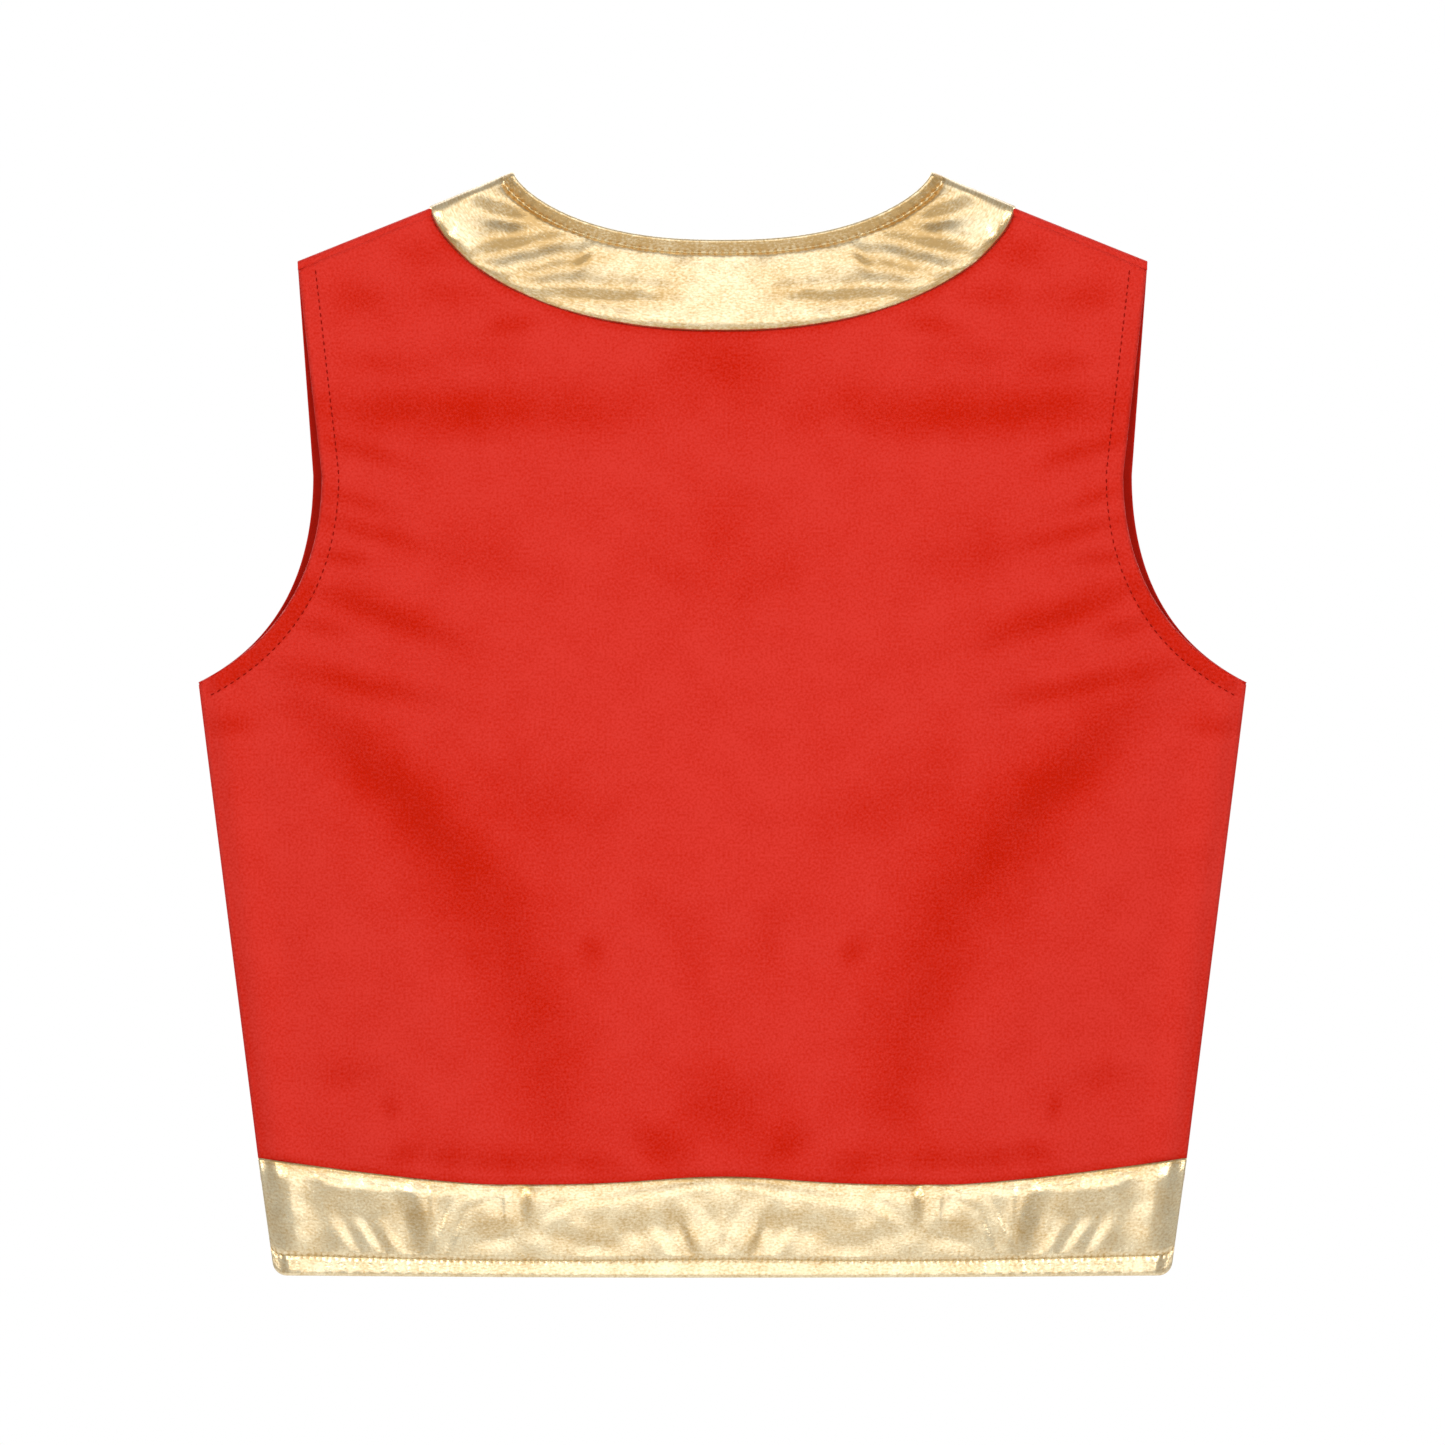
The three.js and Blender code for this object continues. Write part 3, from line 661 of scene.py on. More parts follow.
def makeBackPanel():
    # four edges blended into one grid: u from the wearer's right to left, v from under the hem band up to
    # the neck and shoulders; its place off the plane is the back's surface plus the folds
    allowance, tuckEnd = panelCut["allowance"], panelCut["tuckEnd"]
    columns, rows = panelCut["backGrid"]
    u, v = np.meshgrid(np.linspace(0, 1, columns), np.linspace(0, 1, rows), indexing="ij")
    lowZ = float(hemSeamZ("back", hemSeamEnd)) - allowance
    drop = shoulderWrap["back"]
    armTop = 1.0 - drop / armholes["back"].total
    tip = armholes["back"].at(np.array(armTop))
    corner = neckBandPlace(np.array(1.0), tuckEnd / bandWidth)
    shoulderShare = panelCut["shoulderShare"]

    def top(q):
        # under the neck band in the middle, and a straight line along the shoulder at each end
        s = np.abs(2 * q - 1)
        onShoulder = s > 1 - shoulderShare
        way = np.where(q < 0.5, -1.0, 1.0)
        share = np.clip(s / (1 - shoulderShare), 0, 1)
        inBand = mix(tuckEnd, allowance, smooth((1 - share) * 8)) / bandWidth
        bandX, bandZ = neckBandPlace(share, inBand)
        t = (s - 1 + shoulderShare) / shoulderShare
        seamX, seamZ = mix(corner[0], tip[0], t), mix(corner[1] - drop, tip[1], t)
        sink = np.where(onShoulder, 0.0, drop * smooth(s / (1 - shoulderShare) * 6 - 5))
        return np.where(onShoulder, seamX, bandX) * way, np.where(onShoulder, seamZ, bandZ - sink)

    def low(q):
        # straight across between the sides, parallel to the hem seam and under the hem band
        x = (2 * q - 1) * sideX(lowZ)
        return x, hemSeamZ("back", np.clip(np.abs(x), 0, hemSeamEnd)) - allowance

    left = outerSide("back", lowZ, armTop)

    def right(q):
        x, z = left(q)
        return -x, z

    x, z = patch(u, v, low, top, right, left)
    lift = panelLift("back", x, z, backDrape)
    grid = np.stack([x, surfaceY("back", x, z) + lift, z], axis=-1)
    flat = np.stack([x, z], axis=-1)
    # the satin's painted shade and painted sheen
    paintedShade = paintedShadeShare("back", x, z, backDrape)
    order = outwardOrder(grid, "back")
    piece = shell("backPanel", grid[order], panelCut["thick"], flat[order], shade=paintedShade[order])
    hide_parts("back_panel")
    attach(piece, "back_and_sides")
    return piece


def makeFrontPanel(side):
    # four edges blended into one grid: u from the side seam in to the front edge, v from under the hem
    # band up to the shoulder, and then on over the shoulder
    allowance, tuckEnd = panelCut["allowance"], panelCut["tuckEnd"]
    columns, rows = panelCut["frontGrid"]
    u, v = np.meshgrid(np.linspace(0, 1, columns), np.linspace(0, 1, rows), indexing="ij")
    lowZ = float(hemSeamZ("front", hemSeamEnd)) - allowance
    run = frontEdge.total + allowance

    def inner(q):
        # up the front edge under its band, and straight down past the band's lower end
        down = (1 - q) * run
        inBand = mix(tuckEnd, allowance, smooth(down / 14.0)) / bandWidth
        x, z = frontBandPlace(np.clip(down / frontEdge.total, 0, 1), inBand)
        return x, z - np.clip(down - frontEdge.total, 0, None)

    innerLow, innerTop = inner(np.zeros(1)), inner(np.ones(1))

    def low(q):
        # from the side in to the front edge, parallel to the hem seam and under the hem band
        x = mix(sideX(lowZ), innerLow[0], q)
        return x, hemSeamZ("front", np.clip(x, 0, hemSeamEnd)) - allowance

    def top(q):
        # straight along the shoulder
        return mix(tipHalf, innerTop[0], q), mix(-outline["shoulderDrop"], innerTop[1], q)

    x, z = patch(u, v, low, top, outerSide("front", lowZ, 1.0), inner)
    lift = panelLift("front", x, z, frontDrape)
    y = surfaceY("front", x, z) - lift
    # over the shoulder: extra rows go round a half ellipse from the front's surface to the back's, then
    # down to the seam
    turns, downRows = shoulderWrap["turns"], shoulderWrap["downRows"]
    topX, topZ, topY = x[:, -1], z[:, -1], y[:, -1]
    backY = surfaceY("back", topX, shoulderZ(topX) - shoulderWrap["back"])
    rise, tuck = shoulderWrap["rise"], shoulderWrap["tuck"]
    z = z - rise * smooth(1 - (shoulderZ(x) - z) / shoulderWrap["riseRun"])
    topZ = z[:, -1]
    angle = np.linspace(0, np.pi, turns + 1)[1:]
    half = (backY - topY) / 2
    wrapY = (topY + half)[:, None] - half[:, None] * np.cos(angle)[None]
    wrapZ = topZ[:, None] + rise * np.sin(angle)[None]
    ends = np.linspace(0, 1, downRows + 1)[1:]
    lastZ = topZ[:, None] - (shoulderWrap["back"] - rise + tuck) * ends[None]
    lastY = backY[:, None] - tuck * ends[None] ** 2
    gx = np.concatenate([x, np.repeat(topX[:, None], turns + downRows, axis=1)], axis=1)
    gy = np.concatenate([y, wrapY, lastY], axis=1)
    gz = np.concatenate([z, wrapZ, lastZ], axis=1)
    grid = np.stack([gx, gy, gz], axis=-1)
    turnStep, downStep = 0.8, 0.4  # cloth used by each extra row
    overTop = np.arange(1, turns + 1) * turnStep
    downBack = turns * turnStep + np.arange(1, downRows + 1) * downStep
    extra = np.concatenate([overTop, downBack])
    flat = np.stack([gx, np.concatenate([z, topZ[:, None] + extra[None]], axis=1)], axis=-1)
    # the satin's painted shade and painted sheen
    paintedShade = paintedShadeShare("front", gx, gz, frontDrape)
    if side == "right":
        grid, flat = mirrorX(grid), flat * np.array([-1.0, 1.0])
    order = outwardOrder(grid, "front")
    piece = shell(side + "FrontPanel", grid[order], panelCut["thick"], flat[order], shade=paintedShade[order])
    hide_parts(f"{side}_front_panel", f"{side}_front_side_panel")
    return piece


bandShape = {
    "fold": 0.85,  # the outer layer's height off the panel, and the reach of its turn
    "seam": 0.25,  # its height at the seam
    "seamRun": 4.0,
    "inner": 0.9,
    "thick": 0.35,
    "pleatPitch": 4.9,
    "innerPleat": 0.10,
    "sewnRun": 2.4,  # an end in a joining seam comes in over this length
    "sewnOuter": 0.34,
    "sewnInner": 0.06,
    "freeRun": 1.6,  # a free end closes over this length
    "freeLeft": 0.25,
    "rows": {"body": 18, "stitches": 9, "edge": 5, "turn": 7, "inner": 20},
    "stitchZone": 1.8,  # half the width of the closely spaced rows beside the stitches
}
# painted shade on a band: the most that the creases give, the width of the painted line along the seam,
# and the amounts and widths round the holes and on the strip past them
bandShade = {
    "mostCrease": 0.6,
    "seamWide": 1.9,
    "hole": 0.9,
    "holeWide": 0.8,
    "stripFrom": 0.3,
    "stripRun": 0.8,
}

neckStyle = {
    "ends": lambda far, total: (total - far, 99.0),  # distance to the nearest sewn end, and to the free one
    "grid": 0.36,  # step along the band
    "row": 4.7,  # folded edge to the row of stitches
    "pitch": 2.74,
    "rise": 1.0,  # how far from the seam the pillow reaches its height
    "puff": 0.95,
    "flare": 2.5,  # how far the folded edge stands out past the row
    "pleat": 0.10,
    "edgeShade": 0.55,
    "creaseShade": 1.15,
    "seamShade": 0.60,
    "leans": [
        # long creases beside the seam, then the fan of creases from the pinch near the shoulder
        (74, -25.5, -10, 19, 5.0, 0.64),
        (76, -14.6, 18, 15, 5.2, 0.64),
        (62, -34, -9, 20, 4.2, 0.50),
        (44, -44.5, 3, 30, 4.8, 0.52),
        (91.5, -19, 92, 10, 3.0, -0.30),
        (30, -36, 0, 14, 4.0, 0.16),
        (18, -38, 60, 6, 5.0, 0.24),
        (50, -31.5, -40, 5, 2.2, 0.40),
        (102, -16, 74, 6, 1.6, 0.28),
        (98.5, -25, 50, 6, 1.8, 0.45),
    ],
    "ridges": [
        (96.0, -18, 78, 11, 1.8, 0.45),
        (88, -7.4, 24, 8, 1.5, 0.35),
        (84, -20.0, 4, 10, 1.4, 0.25),
        (66, -40, 14, 12, 1.2, 0.20),
    ],
    "ripple": (8.0, 0.085, 11),
}
hemStyle = {
    "ends": lambda far, total: (total - far, 99.0),
    "grid": 0.50,
    "row": 5.8,
    "pitch": 2.38,
    "rise": 3.2,
    "puff": 0.60,
    "flare": 0.9,
    "pleat": 0.10,
    "edgeShade": 0.0,
    "creaseShade": 0.90,
    "seamShade": 0.70,
    "leans": [
        # the bright line that sags below the seam
        (144, -364.0, 22, 9, 2.4, -0.40),
        (120, -367.5, 4, 17, 2.2, -0.42),
        (87, -370.0, -23, 10, 2.2, -0.40),
        (36, -370.5, -10, 17, 3.2, -0.40),
        (10, -365.5, -12, 12, 3.2, -0.38),
        # slanting folds above the stitches
        (136, -386, 55, 8, 3.2, -0.30),
        (127, -387, 55, 8, 3.0, -0.32),
        (118, -388, 55, 6, 2.6, -0.26),
        (111, -379, 72, 12, 5.4, 0.36),
        (134, -374, 6, 15, 5.0, 0.16),
        # the hooked fold and the hollow inside it
        (101.5, -382, -68, 8, 2.2, -0.42),
        (87, -374.5, -22, 8, 1.8, -0.30),
        (96.5, -385, -64, 7, 1.8, -0.36),
        (84, -383, -20, 9, 5.0, 0.30),
        (71, -370, 88, 8, 4.2, 0.38),
        (58, -376, -37, 7, 2.2, -0.34),
        (58, -367, 20, 4, 2.4, 0.35),
        (30, -380, -8, 20, 6.0, 0.20),
        (46, -386, 10, 14, 4.0, 0.18),
        (21, -387.5, 62, 7, 3.0, -0.34),
        (12, -386, 66, 8, 3.0, 0.40),
        (4, -384, 70, 8, 3.0, -0.30),
    ],
    "ridges": [
        (104.5, -376, 86, 9, 1.2, 0.35),
        (78.0, -375, 88, 8, 1.2, 0.40),
        (155.5, -376, 84, 12, 3.4, 0.55),
    ],
    "ripple": (9.0, 0.060, 23),
}
frontStyle = {
    "ends": lambda far, total: (far, total - far),
    "grid": 0.62,
    "row": 4.7,
    "pitch": 2.6,
    "rise": 2.4,
    "puff": 0.95,
    "flare": 0.9,
    "pleat": 0.11,
    "edgeShade": 0.2,
    "creaseShade": 0.80,
    "seamShade": 0.45,
    "leans": [
        (24, -252, 86, 40, 3.0, 0.34),
        (18, -318, 96, 28, 3.0, -0.30),
        (34, -196, 74, 24, 3.0, 0.34),
        (50, -118, 64, 26, 3.0, -0.34),
        (72, -62, 62, 20, 2.8, 0.34),
        (88, -30, 30, 11, 2.4, 0.42),
        (84, -14, 100, 8, 2.2, 0.38),
        (28, -348, 20, 12, 3.0, 0.30),
    ],
    "ridges": [
        (88, -22, 60, 9, 1.3, 0.45),
        (60, -88, 30, 9, 1.3, 0.30),
        (40, -150, 10, 9, 1.3, 0.32),
        (26, -216, 150, 9, 1.3, 0.30),
        (22, -286, 20, 9, 1.3, 0.30),
    ],
    "ripple": (9.0, 0.060, 31),
}


class Row:
    # how far each share of a band lies along its row of stitches, from the middle or from the neck: the
    # lengths of many short steps added up
    def __init__(self, place, width, style):
        steps = 1600
        self.shares = np.linspace(0.0, 1.0, steps)
        x, z = place(self.shares, np.full(steps, 1 - style["row"] / width))
        self.run = np.concatenate([[0.0], np.cumsum(np.hypot(np.diff(x), np.diff(z)))])
        self.total = self.run[-1]

    def far(self, share):
        return np.interp(np.abs(share), self.shares, self.run) * np.sign(share)

    def share(self, far):
        return np.interp(np.abs(far), self.run, self.shares) * np.sign(far)

    def middles(self, pitch, short, bothSides):
        # stitch centres half a pitch from the holes, stopping short of the ends
        first = 0 if bothSides else int(np.ceil(short / pitch))
        half = (np.arange(first, int((self.total - short) / pitch)) + 0.5) * pitch
        return np.concatenate([-half[::-1], half]) if bothSides else half


def bandHeight(w, far, x, z, width, style):
    # off the panel: a pillow between the seam and the row of stitches, pinched at each hole of the row,
    # with the creases on it; w runs from the seam to the folded edge and far along the row
    row = width - style["row"]
    body = style["puff"] * (1 - np.exp(-((w / style["rise"]) ** 2)))
    body *= 1 - np.exp(-np.clip(row - w, 0, None) / 1.6)
    hole = (1 + np.cos(2 * np.pi * far / style["pitch"])) / 2
    groove = 0.55 * np.exp(-(((w - row) / 0.75) ** 2)) * (0.35 + 0.65 * hole)
    bobble = 0.12 * np.exp(-(((np.abs(w - row) - 1.25) / 0.8) ** 2)) * (1 - hole)
    inBody = smooth(w / 3.0) * smooth((row + 0.5 - w) / 3.0)
    wave, size, seed = style["ripple"]
    loose = leans(x, z, style["leans"]) + ridges(x, z, style["ridges"])
    loose = loose + size * ripple(np.abs(x), z, wave, seed)
    pleatTurns = 2 * np.pi * far / bandShape["pleatPitch"]
    pleats = np.cos(pleatTurns + 1.2 * np.sin(far / 9.0)) * smooth((w - row) / 1.5)
    seamTicks = np.exp(-(((w - 2.6) / 2.0) ** 2)) * np.cos(2 * np.pi * far / 5.7 + 1.3 * np.sin(far / 11.0))
    return body - groove + bobble + loose * inBody + style["pleat"] * pleats + 0.07 * seamTicks


def bandSpot(face, place, share, w, width, style, row, layer):
    # a place on a band: layer 1 is its outer layer, -1 its inner one, and between them the fold; its
    # height is the garment's surface plus the layer's own distance, the pillow and creases, and the flare
    # of the folded edge
    x, z = place(share, w / width)
    far = row.far(share)
    rise = mix(bandShape["seam"], bandShape["fold"], smooth(w / bandShape["seamRun"]))
    off = np.where(layer > 0, layer * rise, layer * bandShape["inner"])
    outer = smooth((layer + 1) / 2)
    height = bandHeight(np.minimum(w, width), far, x, z, width, style)
    flare = style["flare"] * smooth((w - width + style["row"]) / style["row"])
    innerPleats = bandShape["innerPleat"] * np.cos(2 * np.pi * far / bandShape["pleatPitch"])
    off = off + outer * height + flare - (1 - outer) * innerPleats
    way = wayOut[face]
    # a free end closes on itself; an end in a joining seam comes in to meet the other side of the garment
    sewnEnd, freeEnd = style["ends"](np.abs(far), row.total)
    off = off * mix(bandShape["freeLeft"], 1.0, smooth(freeEnd / bandShape["freeRun"]))
    y = surfaceY(face, x, z) + way * (off + sideRoll(face, x, z))
    inwards = 1 - np.sqrt(1 - np.clip(1 - sewnEnd / bandShape["sewnRun"], 0, 1) ** 2)
    y = mix(y, way * np.where(layer > 0, bandShape["sewnOuter"], bandShape["sewnInner"]), inwards)
    return np.stack([x, y, z], axis=-1)


def makeBand(name, face, place, width, style, row, side=None):
    # the folded strip: out along the outer layer, round the folded edge and back along the inner layer
    fold, rows, zone = bandShape["fold"], bandShape["rows"], bandShape["stitchZone"]
    flat, stitch = width - fold, width - style["row"]
    body = mix(0.0, stitch - zone - 0.4, np.linspace(0, 1, rows["body"]) ** 1.15)
    besideRow = np.linspace(stitch - zone, stitch + zone, rows["stitches"])
    outerW = np.concatenate([body, besideRow, np.linspace(stitch + zone + 0.5, flat, rows["edge"])])
    turn = np.linspace(0, np.pi, rows["turn"])[1:-1]
    innerW = np.linspace(flat, 0, rows["inner"])
    w = np.concatenate([outerW, flat + fold * np.sin(turn), innerW])
    layer = np.concatenate([np.ones(len(outerW)), np.cos(turn), -np.ones(len(innerW))])
    start = 0.0 if side else -row.total
    shares = row.share(np.linspace(start, row.total, int((row.total - start) / style["grid"])))
    s, wGrid = np.meshgrid(shares, w, indexing="ij")
    grid = bandSpot(face, place, s, wGrid, width, style, row, np.broadcast_to(layer, s.shape))
    path = np.concatenate([outerW, flat + fold * turn, 2 * flat + fold * np.pi - innerW])
    cloth = np.stack([row.far(s), np.broadcast_to(path, s.shape)], axis=-1)
    if side == "right":
        grid = mirrorX(grid)
    order = outwardOrder(grid, face)
    # painted shade in the creases, along the seam, round the holes of the stitches and on the strip past
    # them
    x, z = place(s, wGrid / width)
    shade = style["creaseShade"] * np.clip(ridges(x, z, style["leans"]), 0.0, bandShade["mostCrease"])
    alongSeam = np.exp(-((wGrid / bandShade["seamWide"]) ** 2)) * (0.75 + 0.25 * np.cos(row.far(s) / 21))
    shade += style["seamShade"] * alongSeam
    hole = (1 + np.cos(2 * np.pi * row.far(s) / style["pitch"])) / 2
    shade += bandShade["hole"] * hole**2 * np.exp(-(((wGrid - stitch) / bandShade["holeWide"]) ** 2))
    shade += style["edgeShade"] * smooth((wGrid - stitch - bandShade["stripFrom"]) / bandShade["stripRun"])
    shade *= np.broadcast_to(layer, s.shape) > 0.9
    return shell(name, grid[order], bandShape["thick"], cloth[order], shade=shade[order])


def makeBandStitches(name, face, place, width, style, row, side=None):
    # one stitch halfway between each two holes of the row, standing on the outer layer
    way = wayOut[face]

    def spotAt(far):
        share = row.share(far)
        w = np.full(len(far), width - style["row"])
        spots = bandSpot(face, place, share, w, width, style, row, np.ones(len(far)))
        spots[:, 1] += way * bandShape["thick"] / 2
        return mirrorX(spots) if side == "right" else spots

    middles = row.middles(style["pitch"], goldStitch["short"], side is None)
    return stitchesAlong(name, spotAt, middles, way, goldStitch)


# millimetres: each thread's length and thickness, how far it bows up, and how far its ends sink in
goldStitch = {"long": 2.1, "wide": 0.44, "bow": 0.42, "sink": 0.16, "short": 3.0}
redStitch = {"long": 2.0, "wide": 0.40, "bow": 0.30, "sink": 0.12}
overlockStitch = {"long": 1.9, "wide": 0.5, "bow": 0.15, "sink": 0.1}

print("making the panels")
backPanel = makeBackPanel()
frontPanels = {side: makeFrontPanel(side) for side in ("left", "right")}

frontHemStyle = dict(hemStyle, ends=lambda far, total: (total - far, far))

print("making the bands and their stitches")
places = {
    "neck": ("back", neckBandPlace, bandWidth, neckStyle),
    "hem": ("back", hemPlace("back", 0.0), hemBand, hemStyle),
    "frontEdge": ("front", frontBandPlace, bandWidth, frontStyle),
    "frontHem": ("front", hemPlace("front", outline["frontGap"] / 2), hemBand, frontHemStyle),
}


def bandAndStitches(name, kind, side=None):
    # a band and its row of topstitching, on one side or, with no side named, across the whole back
    face, place, width, style = places[kind]
    row = Row(place, width, style)
    band = makeBand(name + "Band", face, place, width, style, row, side)
    return band, makeBandStitches(name + "Stitches", face, place, width, style, row, side)


neckBand, neckStitches = bandAndStitches("neck", "neck")
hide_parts("back_neck_band")
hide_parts("back_neck_topstitch")
backHem, hemStitches = bandAndStitches("backHem", "hem")
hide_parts("back_hem_band")
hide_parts("back_hem_topstitch")
frontBands, frontHems, frontStitches = {}, {}, {}
for side in ("left", "right"):
    frontBands[side], edgeRow = bandAndStitches(side + "Front", "frontEdge", side)
    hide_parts(f"{side}_front_band", f"{side}_front_band_top")
    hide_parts(f"{side}_front_edge_topstitch", f"{side}_front_edge_topstitch_top")
    frontHems[side], lowRow = bandAndStitches(side + "FrontHem", "frontHem", side)
    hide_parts(f"{side}_front_hem_band", f"{side}_front_hem_band_side")
    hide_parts(f"{side}_front_hem_topstitch", f"{side}_front_hem_topstitch_side")
    frontStitches[side] = [edgeRow, lowRow]

facing = {
    "wide": 7.2,
    "under": 0.62,  # how far it lies inside the panel
    "thick": 0.4,
    "columns": 190,
    "flatRows": 12,
    "turnRows": 8,
    # share of the wrong side's colour on the good side: painted shade inside the armhole
    "dull": 0.8,
}
armholeRow = {"first": 2.5, "short": 3.5, "pitch": 2.6, "off": 0.30}


def makeFacing(side, face):
    # from inside the panel out to its edge, then round a small half circle up to the panel's own edge
    drop = 0.0 if face == "front" else shoulderWrap["back"]
    line = armholes[face]
    shares = np.linspace(0.0, 1.0 - drop / line.total, facing["columns"])
    radius = facing["under"] / 2
    flatW = np.linspace(facing["wide"], radius, facing["flatRows"])
    turn = np.linspace(0, np.pi, facing["turnRows"])[1:]
    inset = np.concatenate([flatW, radius - radius * np.sin(turn)])
    under = np.concatenate([np.full(facing["flatRows"], facing["under"]), radius + radius * np.cos(turn)])
    s, w = np.meshgrid(shares, inset, indexing="ij")
    x, z = line.at(s, w)
    drape = backDrape if face == "back" else frontDrape
    off = panelLift(face, x, z, drape) - np.broadcast_to(under, s.shape)
    grid = np.stack([x, surfaceY(face, x, z) + wayOut[face] * off, z], axis=-1)
    cloth = np.stack([s * line.total, w], axis=-1)
    if side == "right":
        grid = mirrorX(grid)
    # its good side shows on the inside of the garment
    order = outwardOrder(grid, "front" if face == "back" else "back")
    name = f"{side}{face.capitalize()}ArmholeFacing"
    piece = shell(name, grid[order], facing["thick"], cloth[order], dull=facing["dull"])
    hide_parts(f"{side}_{face}_armhole_facing")
    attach(piece, "back_and_sides")
    return piece


def makeArmholeStitches(side, face):
    # a row at one distance in from the armhole's edge, standing on the panel
    line = armholes[face]
    drape = backDrape if face == "back" else frontDrape
    way = wayOut[face]

    def spotAt(far):
        x, z = line.at(far / line.total, panelEdges["stitchInset"])
        y = surfaceY(face, x, z) + way * (panelLift(face, x, z, drape) + armholeRow["off"])
        spots = np.stack([x, y, z], axis=-1)
        return mirrorX(spots) if side == "right" else spots

    middles = np.arange(armholeRow["first"], line.total - armholeRow["short"], armholeRow["pitch"])
    piece = stitchesAlong(f"{side}{face.capitalize()}ArmholeStitches", spotAt, middles, way, redStitch)
    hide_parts(f"{side}_{face}_armhole_topstitch")
    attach(piece, "back_and_sides")
    return piece


print("making the armholes")
facings, armStitches = [], []
for side in ("left", "right"):
    for face in ("back", "front"):
        facings.append(makeFacing(side, face))
        armStitches.append(makeArmholeStitches(side, face))


seamStrip = {
    "wide": 7.6,
    "thick": 0.7,
    "wave": 0.30,
    "waveRun": 5.0,
    "sideShort": (4.0, 2.0),  # how far it stays clear of the underarm and of the hem band
    "sideInset": 0.8,
    "shoulderShort": (1.5, 9.5),  # and of the neck band and the shoulder tip
    "shoulderDown": 2.8,
    "shoulderY": 0.6,
    "loopFrom": 1.2,
    "loopPitch": 2.0,
    "loopOff": 0.36,
}


def makeSeam(side, kind):
    # a narrow strip inside the joining seam, with a sine wave that grows to its free edge, and an
    # overlock thread over that edge
    if kind == "Side":
        clearTop, clearLow = seamStrip["sideShort"]
        start, end = -outline["underarmDrop"] - clearTop, hemSeamLow + outline["hemSeamRise"] - clearLow
        span, columns = start - end, 90
    else:
        clearNeck, clearTip = seamStrip["shoulderShort"]
        start, end = neckCorner[0] + clearNeck, tipHalf - clearTip
        span, columns = end - start, 30
    t, a = np.meshgrid(np.linspace(0, 1, columns), np.linspace(0, seamStrip["wide"], 9), indexing="ij")
    if kind == "Side":
        z = mix(start, end, t)
        x = sideX(z) - seamStrip["sideInset"] - a
    else:
        x = mix(start, end, t)
        z = shoulderZ(x) - seamStrip["shoulderDown"] - a
    wave = seamStrip["wave"] * np.sin(t * span / seamStrip["waveRun"]) * smooth(a / 6.0)
    y = wave + (0.0 if kind == "Side" else seamStrip["shoulderY"])
    grid = np.stack([x, y, z], axis=-1)
    edge = grid[:, -1].copy()
    cloth = np.stack([t * span, a], axis=-1)
    if side == "right":
        grid, edge = mirrorX(grid), mirrorX(edge)
    strip = shell(f"{side}{kind}Seam", grid, seamStrip["thick"], cloth, dull=1.0)
    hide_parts(f"{side}_{kind.lower()}_seam")
    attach(strip, "back_and_sides")
    run = np.concatenate([[0.0], np.cumsum(np.linalg.norm(np.diff(edge, axis=0), axis=1))])

    def spotAt(far):
        spots = np.stack([np.interp(far, run, edge[:, k]) for k in range(3)], axis=-1)
        return spots - [0.0, seamStrip["loopOff"], 0.0]

    middles = np.arange(seamStrip["loopFrom"], run[-1] - seamStrip["loopFrom"], seamStrip["loopPitch"])
    loops = stitchesAlong(f"{side}{kind}Overlock", spotAt, middles, wayOut["front"], overlockStitch)
    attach(loops, "back_and_sides")
    return strip, loops


print("making the inside seams")
seams = [makeSeam(side, kind) for side in ("left", "right") for kind in ("Side", "Shoulder")]


class Wire:
    # a node's output; arithmetic on it adds the Math node that does it
    def __init__(self, finish, socket):
        self.finish, self.socket = finish, socket

    def sum(self, operation, a, b):
        # one Math node of two values
        return self.finish.add("ShaderNodeMath", {"operation": operation}, {0: a, 1: b})

    def __add__(self, other):
        return self.sum("ADD", self, other)

    def __radd__(self, other):
        return self.sum("ADD", other, self)

    def __sub__(self, other):
        return self.sum("SUBTRACT", self, other)

    def __rsub__(self, other):
        return self.sum("SUBTRACT", other, self)

    def __mul__(self, other):
        return self.sum("MULTIPLY", self, other)

    def __rmul__(self, other):
        return self.sum("MULTIPLY", other, self)


class Finish:
    # one material: add() makes a node from its type, its settings, and the values or links of its sockets
    def __init__(self, name):
        self.material = bpy.data.materials.new(name)
        self.material.use_nodes = True
        self.tree = self.material.node_tree
        self.tree.nodes.clear()
        self.shader = self.tree.nodes.new("ShaderNodeBsdfPrincipled")
        result = self.tree.nodes.new("ShaderNodeOutputMaterial")
        self.tree.links.new(self.shader.outputs[0], result.inputs[0])

    def put(self, node, sockets):
        # a link where the value is another node's output, and a set value where it isn't
        for key, value in sockets.items():
            if isinstance(value, Wire):
                self.tree.links.new(value.socket, node.inputs[key])
            else:
                node.inputs[key].default_value = value

    def add(self, kind, settings=None, sockets=None, output=0):
        node = self.tree.nodes.new(kind)
        for key, value in (settings or {}).items():
            setattr(node, key, value)
        self.put(node, sockets or {})
        return Wire(self, node.outputs[output])

    def blend(self, share, a, b):
        # colour a at share 0 to colour b at share 1
        return self.add("ShaderNodeMix", {"data_type": "RGBA"}, {0: share, 6: a, 7: b}, 2)

    def stretched(self, scale):
        # places on the flat cloth, in metres, times a scale
        spot = self.add("ShaderNodeUVMap", {"uv_map": "cloth"})
        return self.add("ShaderNodeMapping", {}, {"Vector": spot, "Scale": scale})

    def noise(self, where, scale, detail=2.0):
        return self.add("ShaderNodeTexNoise", {}, {"Vector": where, "Scale": scale, "Detail": detail})

    def bump(self, height, strength, distance):
        sockets = {"Height": height, "Strength": strength, "Distance": distance}
        return self.add("ShaderNodeBump", {}, sockets)


